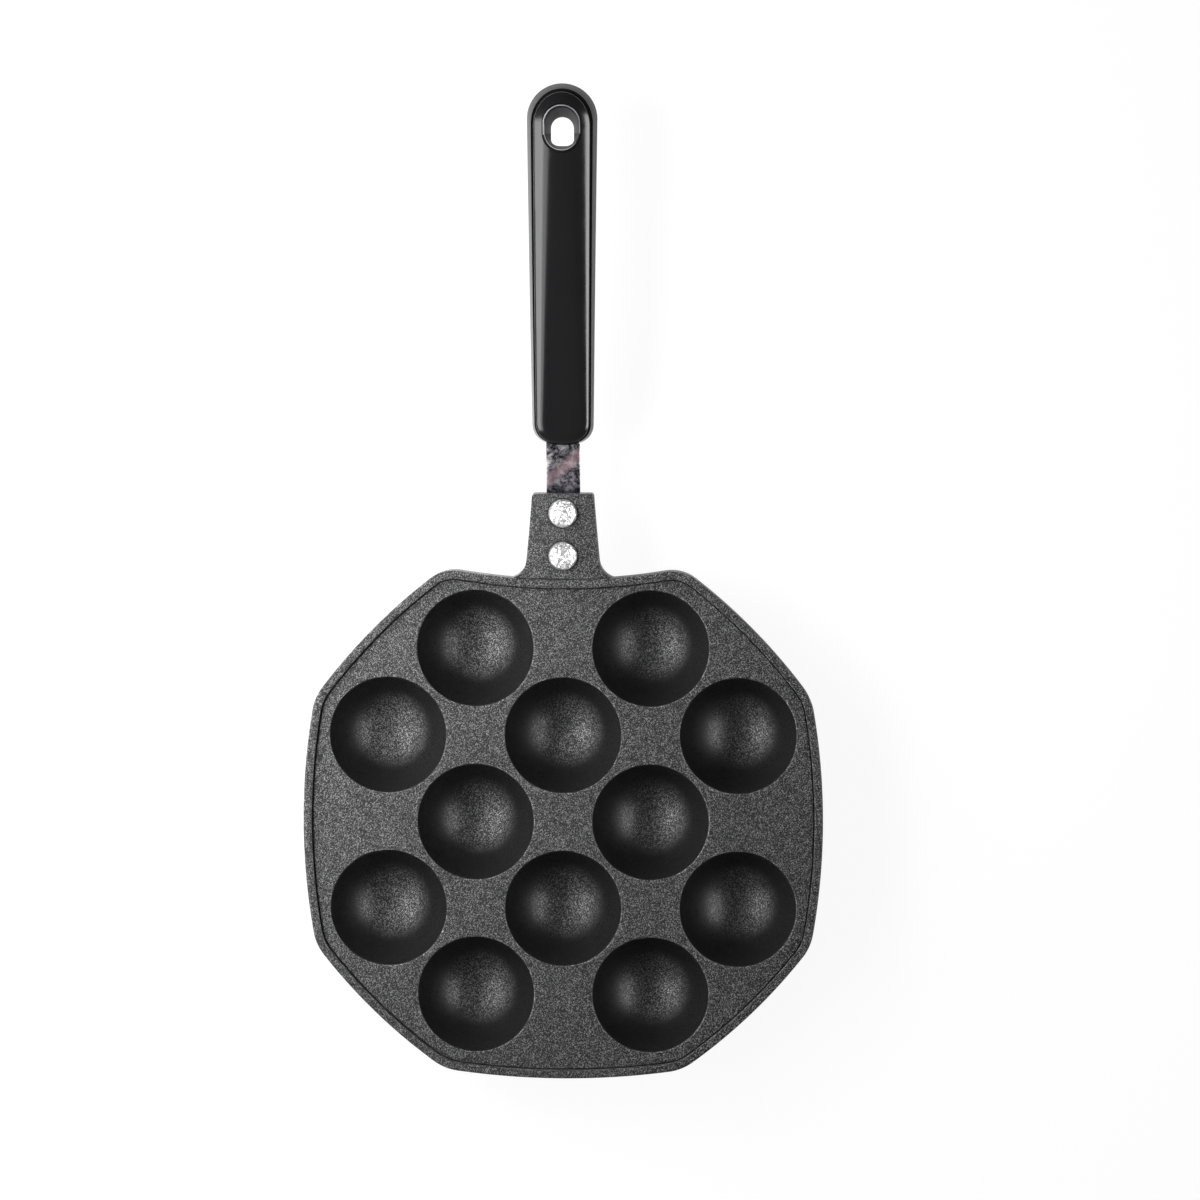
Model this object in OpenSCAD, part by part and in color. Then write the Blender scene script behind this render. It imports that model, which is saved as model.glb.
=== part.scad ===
// Takoyaki pan with twelve cups: one die-cast pan body, a riveted steel tang and a moulded handle.
// Lengths are in millimetres. +Z is up and +Y points along the handle to its hanging hole.
// Inside the modules the origin is the middle of the cup pattern, on the surface that the pan stands on.

/* [Cups] */
// Inner diameter of a cup
cup_d = 40; // [38:0.5:40.5]
// Step between columns, and between staggered rows
cup_pitch = 30.3; // [30:0.1:31]
// Radius that softens a cup's mouth
cup_lip_r = 0.6; // [0.3:0.1:1]
// Wall thickness of a cup
cup_wall = 2.4; // [1.8:0.1:3]
// Diameter of the flat under each cup that the pan stands on
foot_d = 9; // [6:0.5:12]

/* [Pan outline] */
// Plate between the outer cups and the rim, at the middle of each side
side_land = 6.5; // [5.5:0.5:11]
// Plate between the front cups' line and the rim, at the middle of the front edge
front_land = 6.5; // [4.5:0.5:12]
// Plate between the rear cups' line and the rim, at the middle of the rear edge
rear_land = 1; // [0.5:0.5:6]
// Distance from the middle of an end cup to the front corner beside it, across the handle
front_corner_out = 11; // [8:0.1:14]
// Distance from the middle of an end cup to the rear corner beside it, across the handle
rear_corner_out = 10.7; // [8:0.1:14]
// Distance from the middle of a side cup to the side corner beside it, along the handle
side_corner_out = 13; // [10:0.1:15]
// How far each side edge bows out
side_bow = 4.1; // [2:0.1:6]
// How far the front edge bows out
front_bow = 3.2; // [1:0.1:5]
// How far the four slanted edges bow out
slant_bow = 2.5; // [1:0.1:4]
// How far the rear edge dips in between its corners
rear_dip = 4; // [2:0.1:6]
// Radius of the front and side corners
corner_r = 18; // [12:1:22]
// Radius of the two rear corners
rear_corner_r = 14; // [10:1:18]

/* [Plate and rim] */
// Thickness of the plate between the cups
plate_t = 2.5; // [2:0.1:3.5]
// Height of the rim over the plate
rim_h = 1.4; // [0.8:0.1:2.5]
// Width of the flat rim
rim_w = 2.9; // [2.4:0.1:4]
// Radius of the rim's outer edge
rim_edge_r = 0.5; // [0.3:0.1:1]
// Radius of the rim's inner edge
rim_inner_r = 0.25; // [0.15:0.05:0.6]
// Depth of the skirt under the rim's top
skirt_h = 10; // [8:0.5:14]
// Draft angle of the skirt, in degrees
skirt_draft = 2.5; // [1:0.5:5]
// Thickness of the skirt at its lower edge
skirt_t = 2.2; // [1.8:0.1:2.8]
// Radius of both edges along the foot of the skirt
toe_r = 0.6; // [0.3:0.1:0.8]

/* [Lug] */
// Length of the lug behind the rear edge
lug_l = 29.7; // [26:0.1:36]
// Width of the lug at its free end
lug_end_w = 21.2; // [19:0.1:24]
// Width of the lug at its root, before the flares
lug_root_w = 26.4; // [24.5:0.1:30]
// Thickness of the lug
lug_t = 7; // [6:0.1:8]
// Drop from the rim's top to the lug's top
lug_drop = 0.5; // [0.2:0.1:1]
// How far the lug's sides are drawn in along their length
lug_waist = 0.1; // [0.1:0.1:1]
// Radius of the flares that run into the rear edge
lug_flare_r = 7; // [4:0.5:8]
// Corner radius at the lug's free end
lug_corner_r = 1; // [0.9:0.1:3]
// Radius of the lug's top edges
lug_edge_r = 0.4; // [0.3:0.1:0.8]
// Depth of the channel under the lug that holds the tang
channel_depth = 1.6; // [1:0.1:2.4]

/* [Rivets] */
// Shank diameter
rivet_d = 5; // [4:0.1:6]
// Head diameter
rivet_head_d = 10; // [8:0.1:10.6]
// Head height
rivet_head_h = 2.7; // [2:0.1:3.5]
// Diameter of the end that is formed under the tang
rivet_tail_d = 8.4; // [7:0.1:10]
// Height of the end that is formed under the tang
rivet_tail_h = 1.7; // [1:0.1:2.4]
// Straight edge under the curve of both ends
rivet_edge_h = 0.4; // [0.2:0.1:0.6]
// Distance from the lug's free end to the rear rivet
rivet_inset = 6.7; // [6:0.1:8]
// Distance between the two rivets
rivet_pitch = 14.7; // [12:0.1:16]
// Gap around a shank in its hole
rivet_fit = 0.15; // [0.05:0.05:0.3]

/* [Tang] */
// Width of the steel strip
tang_w = 11.6; // [9.5:0.1:13]
// Thickness of the strip
tang_t = 2.5; // [2:0.1:3]
// Gap between the rear edge of the pan and the strip's front end
tang_start = 1.8; // [1.2:0.1:3]
// Length of strip in view between the lug and the handle
tang_show = 16.3; // [12:0.1:22]
// Straight run out of the lug before the strip bends up
tang_run = 1.5; // [1:0.1:3]
// Radius of the bend, at the middle of the strip
tang_bend_r = 20; // [12:1:40]
// Length of strip inside the handle
tang_grip = 46; // [40:1:56]
// Corner radius at both ends of the strip
tang_corner_r = 2; // [1:0.1:4]
// Diameter of the two locking holes in the handle
lock_d = 5; // [4:0.1:6]
// Distance between the locking holes
lock_pitch = 20; // [16:1:24]
// Distance from the strip's rear end to the nearer locking hole
lock_inset = 9; // [7:0.5:12]
// Side gap of the strip in the lug and in the handle
tang_fit = 0.15; // [0.05:0.05:0.3]

/* [Handle] */
// Length of the whole product
overall_l = 345; // [330:1:370]
// Width of the handle near the pan
handle_root_w = 21.2; // [19:0.1:23]
// Width of the handle at its free end
handle_tip_w = 24.1; // [23:0.1:28]
// Thickness of the handle
handle_t = 15.2; // [14.6:0.1:18]
// Length of the rounded nose at the pan end
handle_nose_l = 8.3; // [6:0.1:10]
// Rise of the handle, in degrees
handle_rise = 3; // [0:0.5:6]
// How far the handle arches up over its length
handle_bow = 3; // [1:0.1:5]
// Width of the bead along the parting line
bead_w = 2; // [1.6:0.1:2.8]
// Height of the bead over the parting line
bead_h = 3; // [2.2:0.1:3.6]
// Width of the groove between the bead and the raised panel
groove_w = 0.45; // [0.25:0.05:0.6]
// Depth of that groove
groove_depth = 0.8; // [0.3:0.1:1]
// Share of the bead's width that is left at the pan end
bead_root_share = 0.66; // [0.5:0.01:0.8]
// Radius between the panel's upright edge and its crown
panel_edge_r = 0.6; // [0.4:0.1:1.2]
// Slope of the crown at the panel's edge, in degrees
crown_tilt = 25; // [20:0.5:30]
// Share of the crown's curve that is left at the pan end, where the crown is flat and narrow
crown_root_share = 0.3; // [0.2:0.05:0.5]

/* [Hanging hole] */
// Width of the recess around the hole
recess_w = 12.4; // [11:0.1:14]
// Length of the recess
recess_l = 15.6; // [14:0.1:18]
// Distance from the handle's end to the middle of the recess
recess_inset = 14.6; // [13:0.1:17]
// Level of the foot of the recess's upright edge, over the handle's middle
recess_edge = 4.6; // [3:0.1:5.4]
// Width of the through hole
hole_w = 7.8; // [6:0.1:9]
// Length of the through hole
hole_l = 10.4; // [9:0.1:12]
// Step between the recess and the hole at the pan side
hole_ledge = 0.25; // [0.1:0.05:0.6]

/* [Hidden] */

$fn = 96;
// Rows of cups on each side of the middle row, and columns on each side of the middle one
CUP_ROWS = 2;
// Steps on a corner arc, a bowed edge, an edge rounding, a handle end and the crown
CORNER_STEPS = 8;
EDGE_STEPS = 10;
ROUND_STEPS = 3;
END_STEPS = 20;
CROWN_STEPS = 8;
BEAD_STEPS = 5;
SIDE_STEPS = 12;
// Bow of an edge that is straight, which keeps its circle finite
STRAIGHT = 0.005;
// Extra length of a cutter past the face that it leaves
PAST = 3;
// Share of the lip radius at which the plate's top meets the curve, so the two faces cross
LIP_SHARE = 0.92;
// Share of the bead's width by which it draws back at the handle's nose
NOSE_BEAD_SHARE = 0.35;
// How far round the bead's curve goes, and the slope at which the crown turns flat, in degrees
BEAD_TURN = 80;
CROWN_END_TILT = 3;
// Share of the groove's width that each of its sides takes
GROOVE_SIDE_SHARE = 0.3;
// Reach of the lug's base beyond its root, over the flare's radius
LUG_BASE_SHARE = 1.55;
// Angle between two points on a handle end
END_TURN = 180 / END_STEPS;

cup_r = cup_d / 2;
cups_reach = CUP_ROWS * cup_pitch + cup_r;
dome_r = cup_r + cup_wall;
cup_z = sqrt(dome_r * dome_r - foot_d * foot_d / 4);
plate_top = cup_z + cup_lip_r * LIP_SHARE;
plate_bottom = plate_top - plate_t;
rim_top = plate_top + rim_h;
skirt_bottom = rim_top - skirt_h;
skirt_inset = skirt_h * tan(skirt_draft);

pan_w = 2 * (cups_reach + side_land + rim_w);
front_reach = cups_reach + front_land + rim_w;
rear_reach = cups_reach + rear_land + rim_w;
front_corner_x = cup_pitch + front_corner_out;
rear_corner_x = cup_pitch + rear_corner_out;
side_corner_y = cup_pitch + side_corner_out;

lug_top = rim_top - lug_drop;
lug_bottom = lug_top - lug_t;
lug_end_y = rear_reach + lug_l;
lug_base_y = rear_reach - rim_w / 2;
rivet_rear_y = lug_end_y - rivet_inset;
rivet_front_y = rivet_rear_y - rivet_pitch;

tang_top = lug_bottom + channel_depth;
tang_bottom = tang_top - tang_t;
tang_z = (tang_top + tang_bottom) / 2;
tang_start_y = rear_reach + tang_start;
bend_y = lug_end_y + tang_run;

handle_y = lug_end_y + tang_show;
handle_end_y = overall_l - front_reach;
handle_l = (handle_end_y - handle_y) / cos(handle_rise);
tang_rise = handle_rise + atan(4 * handle_bow / handle_l);
bend_end_y = bend_y + tang_bend_r * sin(tang_rise);
bend_end_z = tang_z + tang_bend_r * (1 - cos(tang_rise));
tang_tail_l = (handle_y - bend_end_y) / cos(tang_rise) + tang_grip;
handle_z = bend_end_z + (handle_y - bend_end_y) * tan(tang_rise);

// The row's origin lies under the middle of the whole product
frame_y = front_reach - overall_l / 2;

function mix(a, b, share) = a + (b - a) * share;
function flip(list) = [for (i = [len(list) - 1:-1:0]) list[i]];
function unit(v) = v / norm(v);
function turned(v) = [v.y, -v.x];

// Outward normal of the straight line from a to b on an outline that runs anticlockwise
function line_normal(a, b) = turned(unit(b - a));

// Circle through a and b that bows out by bow, as [centre, radius, side]
function bowed_edge(a, b, bow) =
    let (
        chord = norm(b - a),
        radius = (chord * chord / 4 + bow * bow) / (2 * abs(bow)),
        side = sign(bow)
    )
    [(a + b) / 2 - line_normal(a, b) * (radius - abs(bow)) * side, radius, side];

// The point where two circles meet that is nearer to a guess
function meeting(c1, r1, c2, r2, guess) =
    let (
        gap = norm(c2 - c1),
        along = (r1 * r1 - r2 * r2 + gap * gap) / (2 * gap),
        across = sqrt(max(0, r1 * r1 - along * along)),
        foot = c1 + unit(c2 - c1) * along,
        left = foot + turned(unit(c2 - c1)) * across,
        right = foot - turned(unit(c2 - c1)) * across
    )
    norm(left - guess) < norm(right - guess) ? left : right;

// Corner arc between two bowed edges, as [centre, first point, last point]; a hollow corner has r < 0
function corner_arc(v, before, after, inward, r) =
    let (
        centre = meeting(
            before[0], before[1] - before[2] * r,
            after[0], after[1] - after[2] * r,
            v + inward * r
        )
    )
    [
        centre,
        before[0] + unit(centre - before[0]) * before[1],
        after[0] + unit(centre - after[0]) * after[1]
    ];

// Points of an arc with their outward normals, without its last point
function arc_points(centre, from, to, steps, side) =
    let (
        a = atan2(from.y - centre.y, from.x - centre.x),
        b = atan2(to.y - centre.y, to.x - centre.x),
        sweep = (b - a + 540) % 360 - 180,
        r = norm(from - centre)
    )
    [
        for (i = [0:steps - 1])
            let (ray = [cos(a + sweep * i / steps), sin(a + sweep * i / steps)])
            [centre + ray * r, ray * side]
    ];

// Outline with bowed edges and rounded corners: a list of [point, outward normal].
// A corner without a radius is sharp, and stays in place when the outline is moved in.
function outline(corners, bows, radii, steps) =
    let (
        n = len(corners),
        edges = [for (i = [0:n - 1]) bowed_edge(corners[i], corners[(i + 1) % n], bows[i])],
        arcs = [
            for (i = [0:n - 1])
                let (
                    last = corners[(i + n - 1) % n],
                    next = corners[(i + 1) % n],
                    inward = -unit(line_normal(last, corners[i]) + line_normal(corners[i], next))
                )
                corner_arc(corners[i], edges[(i + n - 1) % n], edges[i], inward, radii[i])
        ]
    )
    [
        for (i = [0:n - 1])
            let (
                edge = arc_points(
                    edges[i][0], arcs[i][2], arcs[(i + 1) % n][1], steps[i], edges[i][2]
                )
            )
            each radii[i] == 0
                ? concat([[corners[i], [0, 0]]], [for (k = [1:1:steps[i] - 1]) edge[k]])
                : concat(
                    arc_points(arcs[i][0], arcs[i][1], arcs[i][2], CORNER_STEPS, sign(radii[i])),
                    edge
                )
    ];

// The outline moved in by a distance, flat or at a height
function inset_outline(line, inset) = [for (p = line) p[0] - p[1] * inset];
function ring(line, inset, z) = [for (p = inset_outline(line, inset)) [p.x, p.y, z]];

// The pan seen from above: an octagon with bowed edges, whose rear edge dips in towards the lug
pan_side_x = pan_w / 2 - side_bow;
pan_front_y = front_bow - front_reach;
pan_rear_y = rear_reach + rear_dip;
pan_outline = outline(
    [
        [front_corner_x, pan_front_y], [pan_side_x, -side_corner_y],
        [pan_side_x, side_corner_y], [rear_corner_x, pan_rear_y],
        [-rear_corner_x, pan_rear_y], [-pan_side_x, side_corner_y],
        [-pan_side_x, -side_corner_y], [-front_corner_x, pan_front_y]
    ],
    [slant_bow, side_bow, slant_bow, -rear_dip, slant_bow, side_bow, slant_bow, front_bow],
    [
        corner_r, corner_r, corner_r, rear_corner_r,
        rear_corner_r, corner_r, corner_r, corner_r
    ],
    [for (i = [0:7]) EDGE_STEPS]
);

// Height of the rear edge at a distance from the centre line, close to the middle
rear_edge_r = (rear_corner_x * rear_corner_x + rear_dip * rear_dip) / (2 * rear_dip);
function rear_edge_y(x) = rear_reach + rear_edge_r - sqrt(rear_edge_r * rear_edge_r - x * x);

// The lug seen from above, with its base buried in the rim
lug_base_x = lug_root_w / 2 + lug_flare_r * LUG_BASE_SHARE;
lug_root_y = rear_edge_y(lug_root_w / 2);
lug_shoulder_y = lug_root_y - (rim_top - lug_bottom) * tan(skirt_draft);
lug_outline = outline(
    [
        [lug_base_x, lug_base_y], [lug_base_x, lug_shoulder_y],
        [lug_root_w / 2, lug_root_y], [lug_end_w / 2, lug_end_y],
        [-lug_end_w / 2, lug_end_y], [-lug_root_w / 2, lug_root_y],
        [-lug_base_x, lug_shoulder_y], [-lug_base_x, lug_base_y]
    ],
    [STRAIGHT, STRAIGHT, -lug_waist, STRAIGHT, -lug_waist, STRAIGHT, STRAIGHT, STRAIGHT],
    [0, 0, -lug_flare_r, lug_corner_r, lug_corner_r, -lug_flare_r, 0, 0],
    [1, 1, EDGE_STEPS, 1, EDGE_STEPS, 1, 1, 1]
);

// Faces between rings of n points, each ring anticlockwise seen from the end of the stack
function wall_faces(n, rings, closed) = [
    for (k = [0:rings - (closed ? 1 : 2)], i = [0:n - 1])
        let (
            a = k * n,
            b = ((k + 1) % rings) * n,
            j = (i + 1) % n
        )
        each [[a + i, b + j, a + j], [a + i, b + i, b + j]]
];

// A closed band: the last ring joins the first
module band(rings) {
    polyhedron(
        points = [for (r = rings) each r],
        faces = wall_faces(len(rings[0]), len(rings), true)
    );
}

// End face of a ring that is the same on both sides of x = 0, as strips from side to side.
// The mirror of point k is point n - skip - k; base is the ring's first index.
function end_faces(n, base, skip, upward) = [
    for (k = [0:(n - skip) / 2 - 1])
        let (
            a = base + k,
            b = base + k + 1,
            c = base + (n - skip - k - 1) % n,
            d = base + (n - skip - k) % n
        )
        each concat(
            b == c ? [] : [upward ? [a, c, b] : [a, b, c]],
            a == d ? [] : [upward ? [a, d, c] : [a, c, d]]
        )
];

// A stack with closed ends, from rings that are the same on both sides of x = 0
module stack(rings, skip) {
    n = len(rings[0]);
    polyhedron(
        points = [for (r = rings) each r],
        faces = concat(
            wall_faces(n, len(rings), false),
            end_faces(n, 0, skip, false),
            end_faces(n, (len(rings) - 1) * n, skip, true)
        )
    );
}

module placed() {
    translate([0, frame_y, 0])
        children();
}

// Centres of the cups: rows of two and three in turn, five rows in all
cup_centres = [
    for (row = [-CUP_ROWS:CUP_ROWS], column = [-CUP_ROWS:CUP_ROWS])
        if ((row + column) % 2 != 0 && abs(row) + abs(column) < 2 * CUP_ROWS)
            [column * cup_pitch, row * cup_pitch]
];

// Rings along a rounded edge of the pan, from an upright face to a flat one. The edge lies at an
// inset and a level; side_x and side_z point from it into the solid.
function edge_rings(inset, level, r, side_x, side_z) = [
    for (i = [0:ROUND_STEPS])
        let (a = 90 * i / ROUND_STEPS)
        ring(pan_outline, inset + side_x * r * (1 - cos(a)), level + side_z * r * (1 - sin(a)))
];

// Rim and skirt in one band with rounded edges
module rim_and_skirt() {
    band(concat(
        flip(edge_rings(skirt_inset, skirt_bottom, toe_r, 1, 1)),
        edge_rings(0, rim_top, rim_edge_r, 1, -1),
        flip(edge_rings(rim_w, rim_top, rim_inner_r, -1, -1)),
        [ring(pan_outline, rim_w, plate_bottom)],
        edge_rings(skirt_inset + skirt_t, skirt_bottom, toe_r, -1, 1)
    ));
}

module plate() {
    translate([0, 0, plate_bottom])
        linear_extrude(plate_t)
            polygon(inset_outline(pan_outline, rim_w / 2));
}

// Outside of a cup, with the flat that it stands on
module dome() {
    reach = dome_r + PAST;
    intersection() {
        translate([0, 0, cup_z])
            sphere(dome_r);
        translate([-reach, -reach, 0])
            cube([2 * reach, 2 * reach, plate_top - plate_t / 2]);
    }
}

// Inside of a cup: a half ball with a softened mouth
module cup_space() {
    mouth_r = cup_r + cup_lip_r;
    translate([0, 0, cup_z])
        rotate_extrude() {
            intersection() {
                circle(cup_r);
                translate([0, -cup_r])
                    square([cup_r, cup_r]);
            }
            difference() {
                square([mouth_r, cup_lip_r]);
                translate([mouth_r, 0])
                    circle(cup_lip_r);
            }
            translate([0, cup_lip_r])
                square([mouth_r, rim_h]);
        }
}

module lug_block() {
    edge = [
        for (i = [0:ROUND_STEPS])
            let (a = 90 * i / ROUND_STEPS)
            ring(
                lug_outline,
                lug_edge_r * (1 - cos(a)),
                lug_top - lug_edge_r * (1 - sin(a))
            )
    ];
    stack(concat([ring(lug_outline, 0, lug_bottom)], edge), 1);
}

// Both rivet holes, from one height to another
module rivet_holes(bottom, top) {
    for (y = [rivet_front_y, rivet_rear_y])
        translate([0, y, bottom])
            cylinder(d = rivet_d + 2 * rivet_fit, h = top - bottom);
}

// Channel under the lug, open at the lug's free end
module tang_channel() {
    translate([-tang_w / 2 - tang_fit, tang_start_y - tang_fit, lug_bottom - PAST])
        cube([tang_w + 2 * tang_fit, lug_l + PAST, channel_depth + PAST]);
}

module pan_body() {
    color([0.33, 0.33, 0.34])
        placed()
            difference() {
                union() {
                    rim_and_skirt();
                    plate();
                    lug_block();
                    for (c = cup_centres)
                        translate(c)
                            dome();
                }
                for (c = cup_centres)
                    translate(c)
                        cup_space();
                tang_channel();
                rivet_holes(lug_bottom - PAST, lug_top + PAST);
            }
}

// Strip outline from the origin along +Y, with rounded corners at its far end
module strip_shape(width, length) {
    translate([-width / 2, 0])
        square([width, length - tang_corner_r]);
    translate([-width / 2 + tang_corner_r, 0])
        square([width - 2 * tang_corner_r, length]);
    for (side = [-1, 1])
        translate([side * (width / 2 - tang_corner_r), length - tang_corner_r])
            circle(tang_corner_r);
}

// The stretch of strip that runs up into the handle, grown sideways and at its end by a gap
module tang_tail(gap) {
    translate([0, bend_end_y, bend_end_z])
        rotate([tang_rise, 0, 0])
            translate([0, 0, -tang_t / 2])
                linear_extrude(tang_t)
                    strip_shape(tang_w + 2 * gap, tang_tail_l + gap);
}

// The locking holes, or the posts of the handle that fill them
module locks(diameter, reach) {
    for (back = [lock_inset, lock_inset + lock_pitch])
        translate([0, bend_end_y, bend_end_z])
            rotate([tang_rise, 0, 0])
                translate([0, tang_tail_l - back, -reach])
                    cylinder(d = diameter, h = 2 * reach);
}

module tang_bend() {
    translate([0, bend_y, tang_z + tang_bend_r])
        rotate([0, 90, 0])
            translate([0, 0, -tang_w / 2])
                rotate_extrude(angle = tang_rise)
                    translate([tang_bend_r - tang_t / 2, 0])
                        square([tang_t, tang_w]);
}

module tang() {
    flat_l = bend_y - tang_start_y;
    color([0.62, 0.61, 0.62])
        placed()
            difference() {
                union() {
                    translate([0, bend_y, tang_bottom])
                        linear_extrude(tang_t)
                            rotate(180)
                                strip_shape(tang_w, flat_l);
                    tang_bend();
                    tang_tail(0);
                }
                rivet_holes(tang_bottom - PAST, tang_top + PAST);
                locks(lock_d, tang_t);
            }
}

// Low dome that stands on the plane z = 0
module rivet_end(diameter, height) {
    cap_h = height - rivet_edge_h;
    ball_r = (diameter * diameter / 4 + cap_h * cap_h) / (2 * cap_h);
    intersection() {
        translate([0, 0, height - ball_r])
            sphere(ball_r);
        cylinder(d = diameter, h = height);
    }
}

module rivet(y) {
    color([0.85, 0.85, 0.86])
        placed()
            translate([0, y, 0]) {
                translate([0, 0, lug_top])
                    rivet_end(rivet_head_d, rivet_head_h);
                translate([0, 0, tang_bottom - rivet_edge_h / 2])
                    cylinder(d = rivet_d, h = lug_top - tang_bottom + rivet_edge_h);
                translate([0, 0, tang_bottom])
                    mirror([0, 0, 1])
                        rivet_end(rivet_tail_d, rivet_tail_h);
            }
}

module rivet_front() {
    rivet(rivet_front_y);
}

module rivet_rear() {
    rivet(rivet_rear_y);
}

// Half of a handle end: points of an ellipse of half width w and length l, from one angle on
function end_points(w, l, tip_y, from, count) = [
    for (i = [0:count - 1])
        let (a = from + END_TURN * i)
        [w * cos(a), tip_y + l * sin(a)]
];

// One long side of the handle, from the pan end to the free end
root_half = handle_root_w / 2;
tip_half = handle_tip_w / 2;
function side_points(side) = [
    for (i = [0:SIDE_STEPS])
        let (share = i / SIDE_STEPS)
        [
            side * mix(root_half, tip_half, share),
            mix(handle_nose_l, handle_l - tip_half, share)
        ]
];

// The handle seen from above, anticlockwise from the middle of its nose: y runs from 0 to handle_l
half_end = END_STEPS / 2;
handle_plan = concat(
    end_points(root_half, handle_nose_l, handle_nose_l, -END_TURN * half_end, half_end),
    side_points(1),
    end_points(tip_half, tip_half, handle_l - tip_half, END_TURN, END_STEPS - 1),
    flip(side_points(-1)),
    end_points(root_half, handle_nose_l, handle_nose_l, END_TURN * (END_STEPS + 1), half_end - 1)
);

// Height of the arched centre line over its chord
function arch(y) = 4 * handle_bow * y / handle_l * (1 - y / handle_l);

// Share of the way from a value at the pan end to 1 at the free end
function grown(root, y) = mix(root, 1, y / handle_l);

// The plan drawn in by an inset over the edge and by one over the crown, and lifted onto the arch
function handle_ring(edge, crown, level, rise) =
    let (
        half_l = handle_l / 2,
        nose_edge = NOSE_BEAD_SHARE * min(edge, bead_w) + max(0, edge - bead_w),
        nose_inset = nose_edge + crown * crown_root_share
    )
    [
        for (p = handle_plan)
            let (
                end_inset = p.y > half_l ? edge + crown : nose_inset,
                edge_part = edge * grown(bead_root_share, p.y),
                crown_part = crown * grown(crown_root_share, p.y),
                x = p.x * (1 - (edge_part + crown_part) / tip_half),
                y = half_l + (p.y - half_l) * (1 - end_inset / half_l)
            )
            [x, y, arch(y) + level + rise * grown(crown_root_share, p.y)]
    ];

// The crown is an arc across the panel, which starts where the panel's rounded edge ends
panel_inset = bead_w + groove_w;
crown_inset = panel_inset + panel_edge_r * (1 - sin(crown_tilt));
crown_reach = tip_half - crown_inset;
crown_r = crown_reach / sin(crown_tilt);
crown_base = handle_t / 2 - crown_r * (cos(CROWN_END_TILT) - cos(crown_tilt));
round_base = crown_base - panel_edge_r * cos(crown_tilt);
groove_level = bead_h - groove_depth;
groove_side = groove_w * GROOVE_SIDE_SHARE;

// Half a cross-section as [edge inset, crown inset, level, rise over the crown's foot]:
// bead, groove, upright edge of the panel with its rounding, crown
half_section = concat(
    [
        for (i = [0:BEAD_STEPS])
            let (a = BEAD_TURN * i / BEAD_STEPS)
            [bead_w * (1 - cos(a)), 0, bead_h * sin(a), 0]
    ],
    [
        [bead_w + groove_side, 0, groove_level, 0],
        [panel_inset - groove_side, 0, groove_level, 0]
    ],
    [
        for (i = [0:ROUND_STEPS])
            let (a = (90 - crown_tilt) * i / ROUND_STEPS)
            [
                panel_inset + panel_edge_r * (1 - cos(a)), 0,
                round_base + panel_edge_r * sin(a), 0
            ]
    ],
    [
        for (i = [1:CROWN_STEPS])
            let (a = mix(crown_tilt, CROWN_END_TILT, i / CROWN_STEPS))
            [
                crown_inset, crown_reach - crown_r * sin(a),
                crown_base, crown_r * (cos(a) - cos(crown_tilt))
            ]
    ]
);

module handle_shell() {
    under = [for (i = [len(half_section) - 1:-1:1]) half_section[i]];
    rings = concat(
        [for (s = under) handle_ring(s[0], s[1], -s[2], -s[3])],
        [for (s = half_section) handle_ring(s[0], s[1], s[2], s[3])]
    );
    stack(rings, 0);
}

// Slot outline of a width and a length, centred, along Y
module slot_shape(width, length) {
    reach = (length - width) / 2;
    square([width, 2 * reach], center = true);
    for (side = [-1, 1])
        translate([0, side * reach])
            circle(width / 2);
}

// The through hole: its pan side follows the end of the recess
module hole_shape() {
    spare = hole_w / 2;
    intersection() {
        translate([0, (hole_l - recess_l - spare) / 2 + hole_ledge])
            slot_shape(hole_w, hole_l + spare);
        slot_shape(recess_w - 2 * hole_ledge, recess_l - 2 * hole_ledge);
    }
}

// Recess and hole: an upright edge, a slope down to the hole, and the hole itself
module hanging_hole() {
    slice = 0.01;
    level = arch(handle_l - recess_inset);
    translate([0, handle_l - recess_inset, level]) {
        translate([0, 0, recess_edge])
            linear_extrude(handle_t)
                slot_shape(recess_w, recess_l);
        hull() {
            translate([0, 0, recess_edge])
                linear_extrude(slice)
                    slot_shape(recess_w, recess_l, $fn = 32);
            translate([0, 0, -bead_h])
                linear_extrude(slice)
                    hole_shape($fn = 32);
        }
        translate([0, 0, -handle_t])
            linear_extrude(handle_t)
                hole_shape();
    }
}

module handle() {
    color([0.09, 0.09, 0.1])
        placed() {
            difference() {
                translate([0, handle_y, handle_z])
                    rotate([handle_rise, 0, 0])
                        difference() {
                            handle_shell();
                            hanging_hole();
                        }
                tang_tail(tang_fit);
            }
            locks(lock_d - 2 * tang_fit, tang_t);
        }
}

pan_body();
tang();
rivet_front();
rivet_rear();
handle();
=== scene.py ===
"""Takoyaki pan with twelve cups, seen from above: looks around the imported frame.

Lengths of the shapes are in millimetres, in the pan's own frame: the origin is the middle of the
cup pattern, +Z is up and +Y points along the handle. Shell.mesh() turns them into metres in the
row frame. Camera, lamps, floor and patterns are in metres, in the row frame.
"""

import math

import bpy
import numpy as np
from mathutils import Matrix, Vector
from mathutils.geometry import delaunay_2d_cdt


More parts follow.
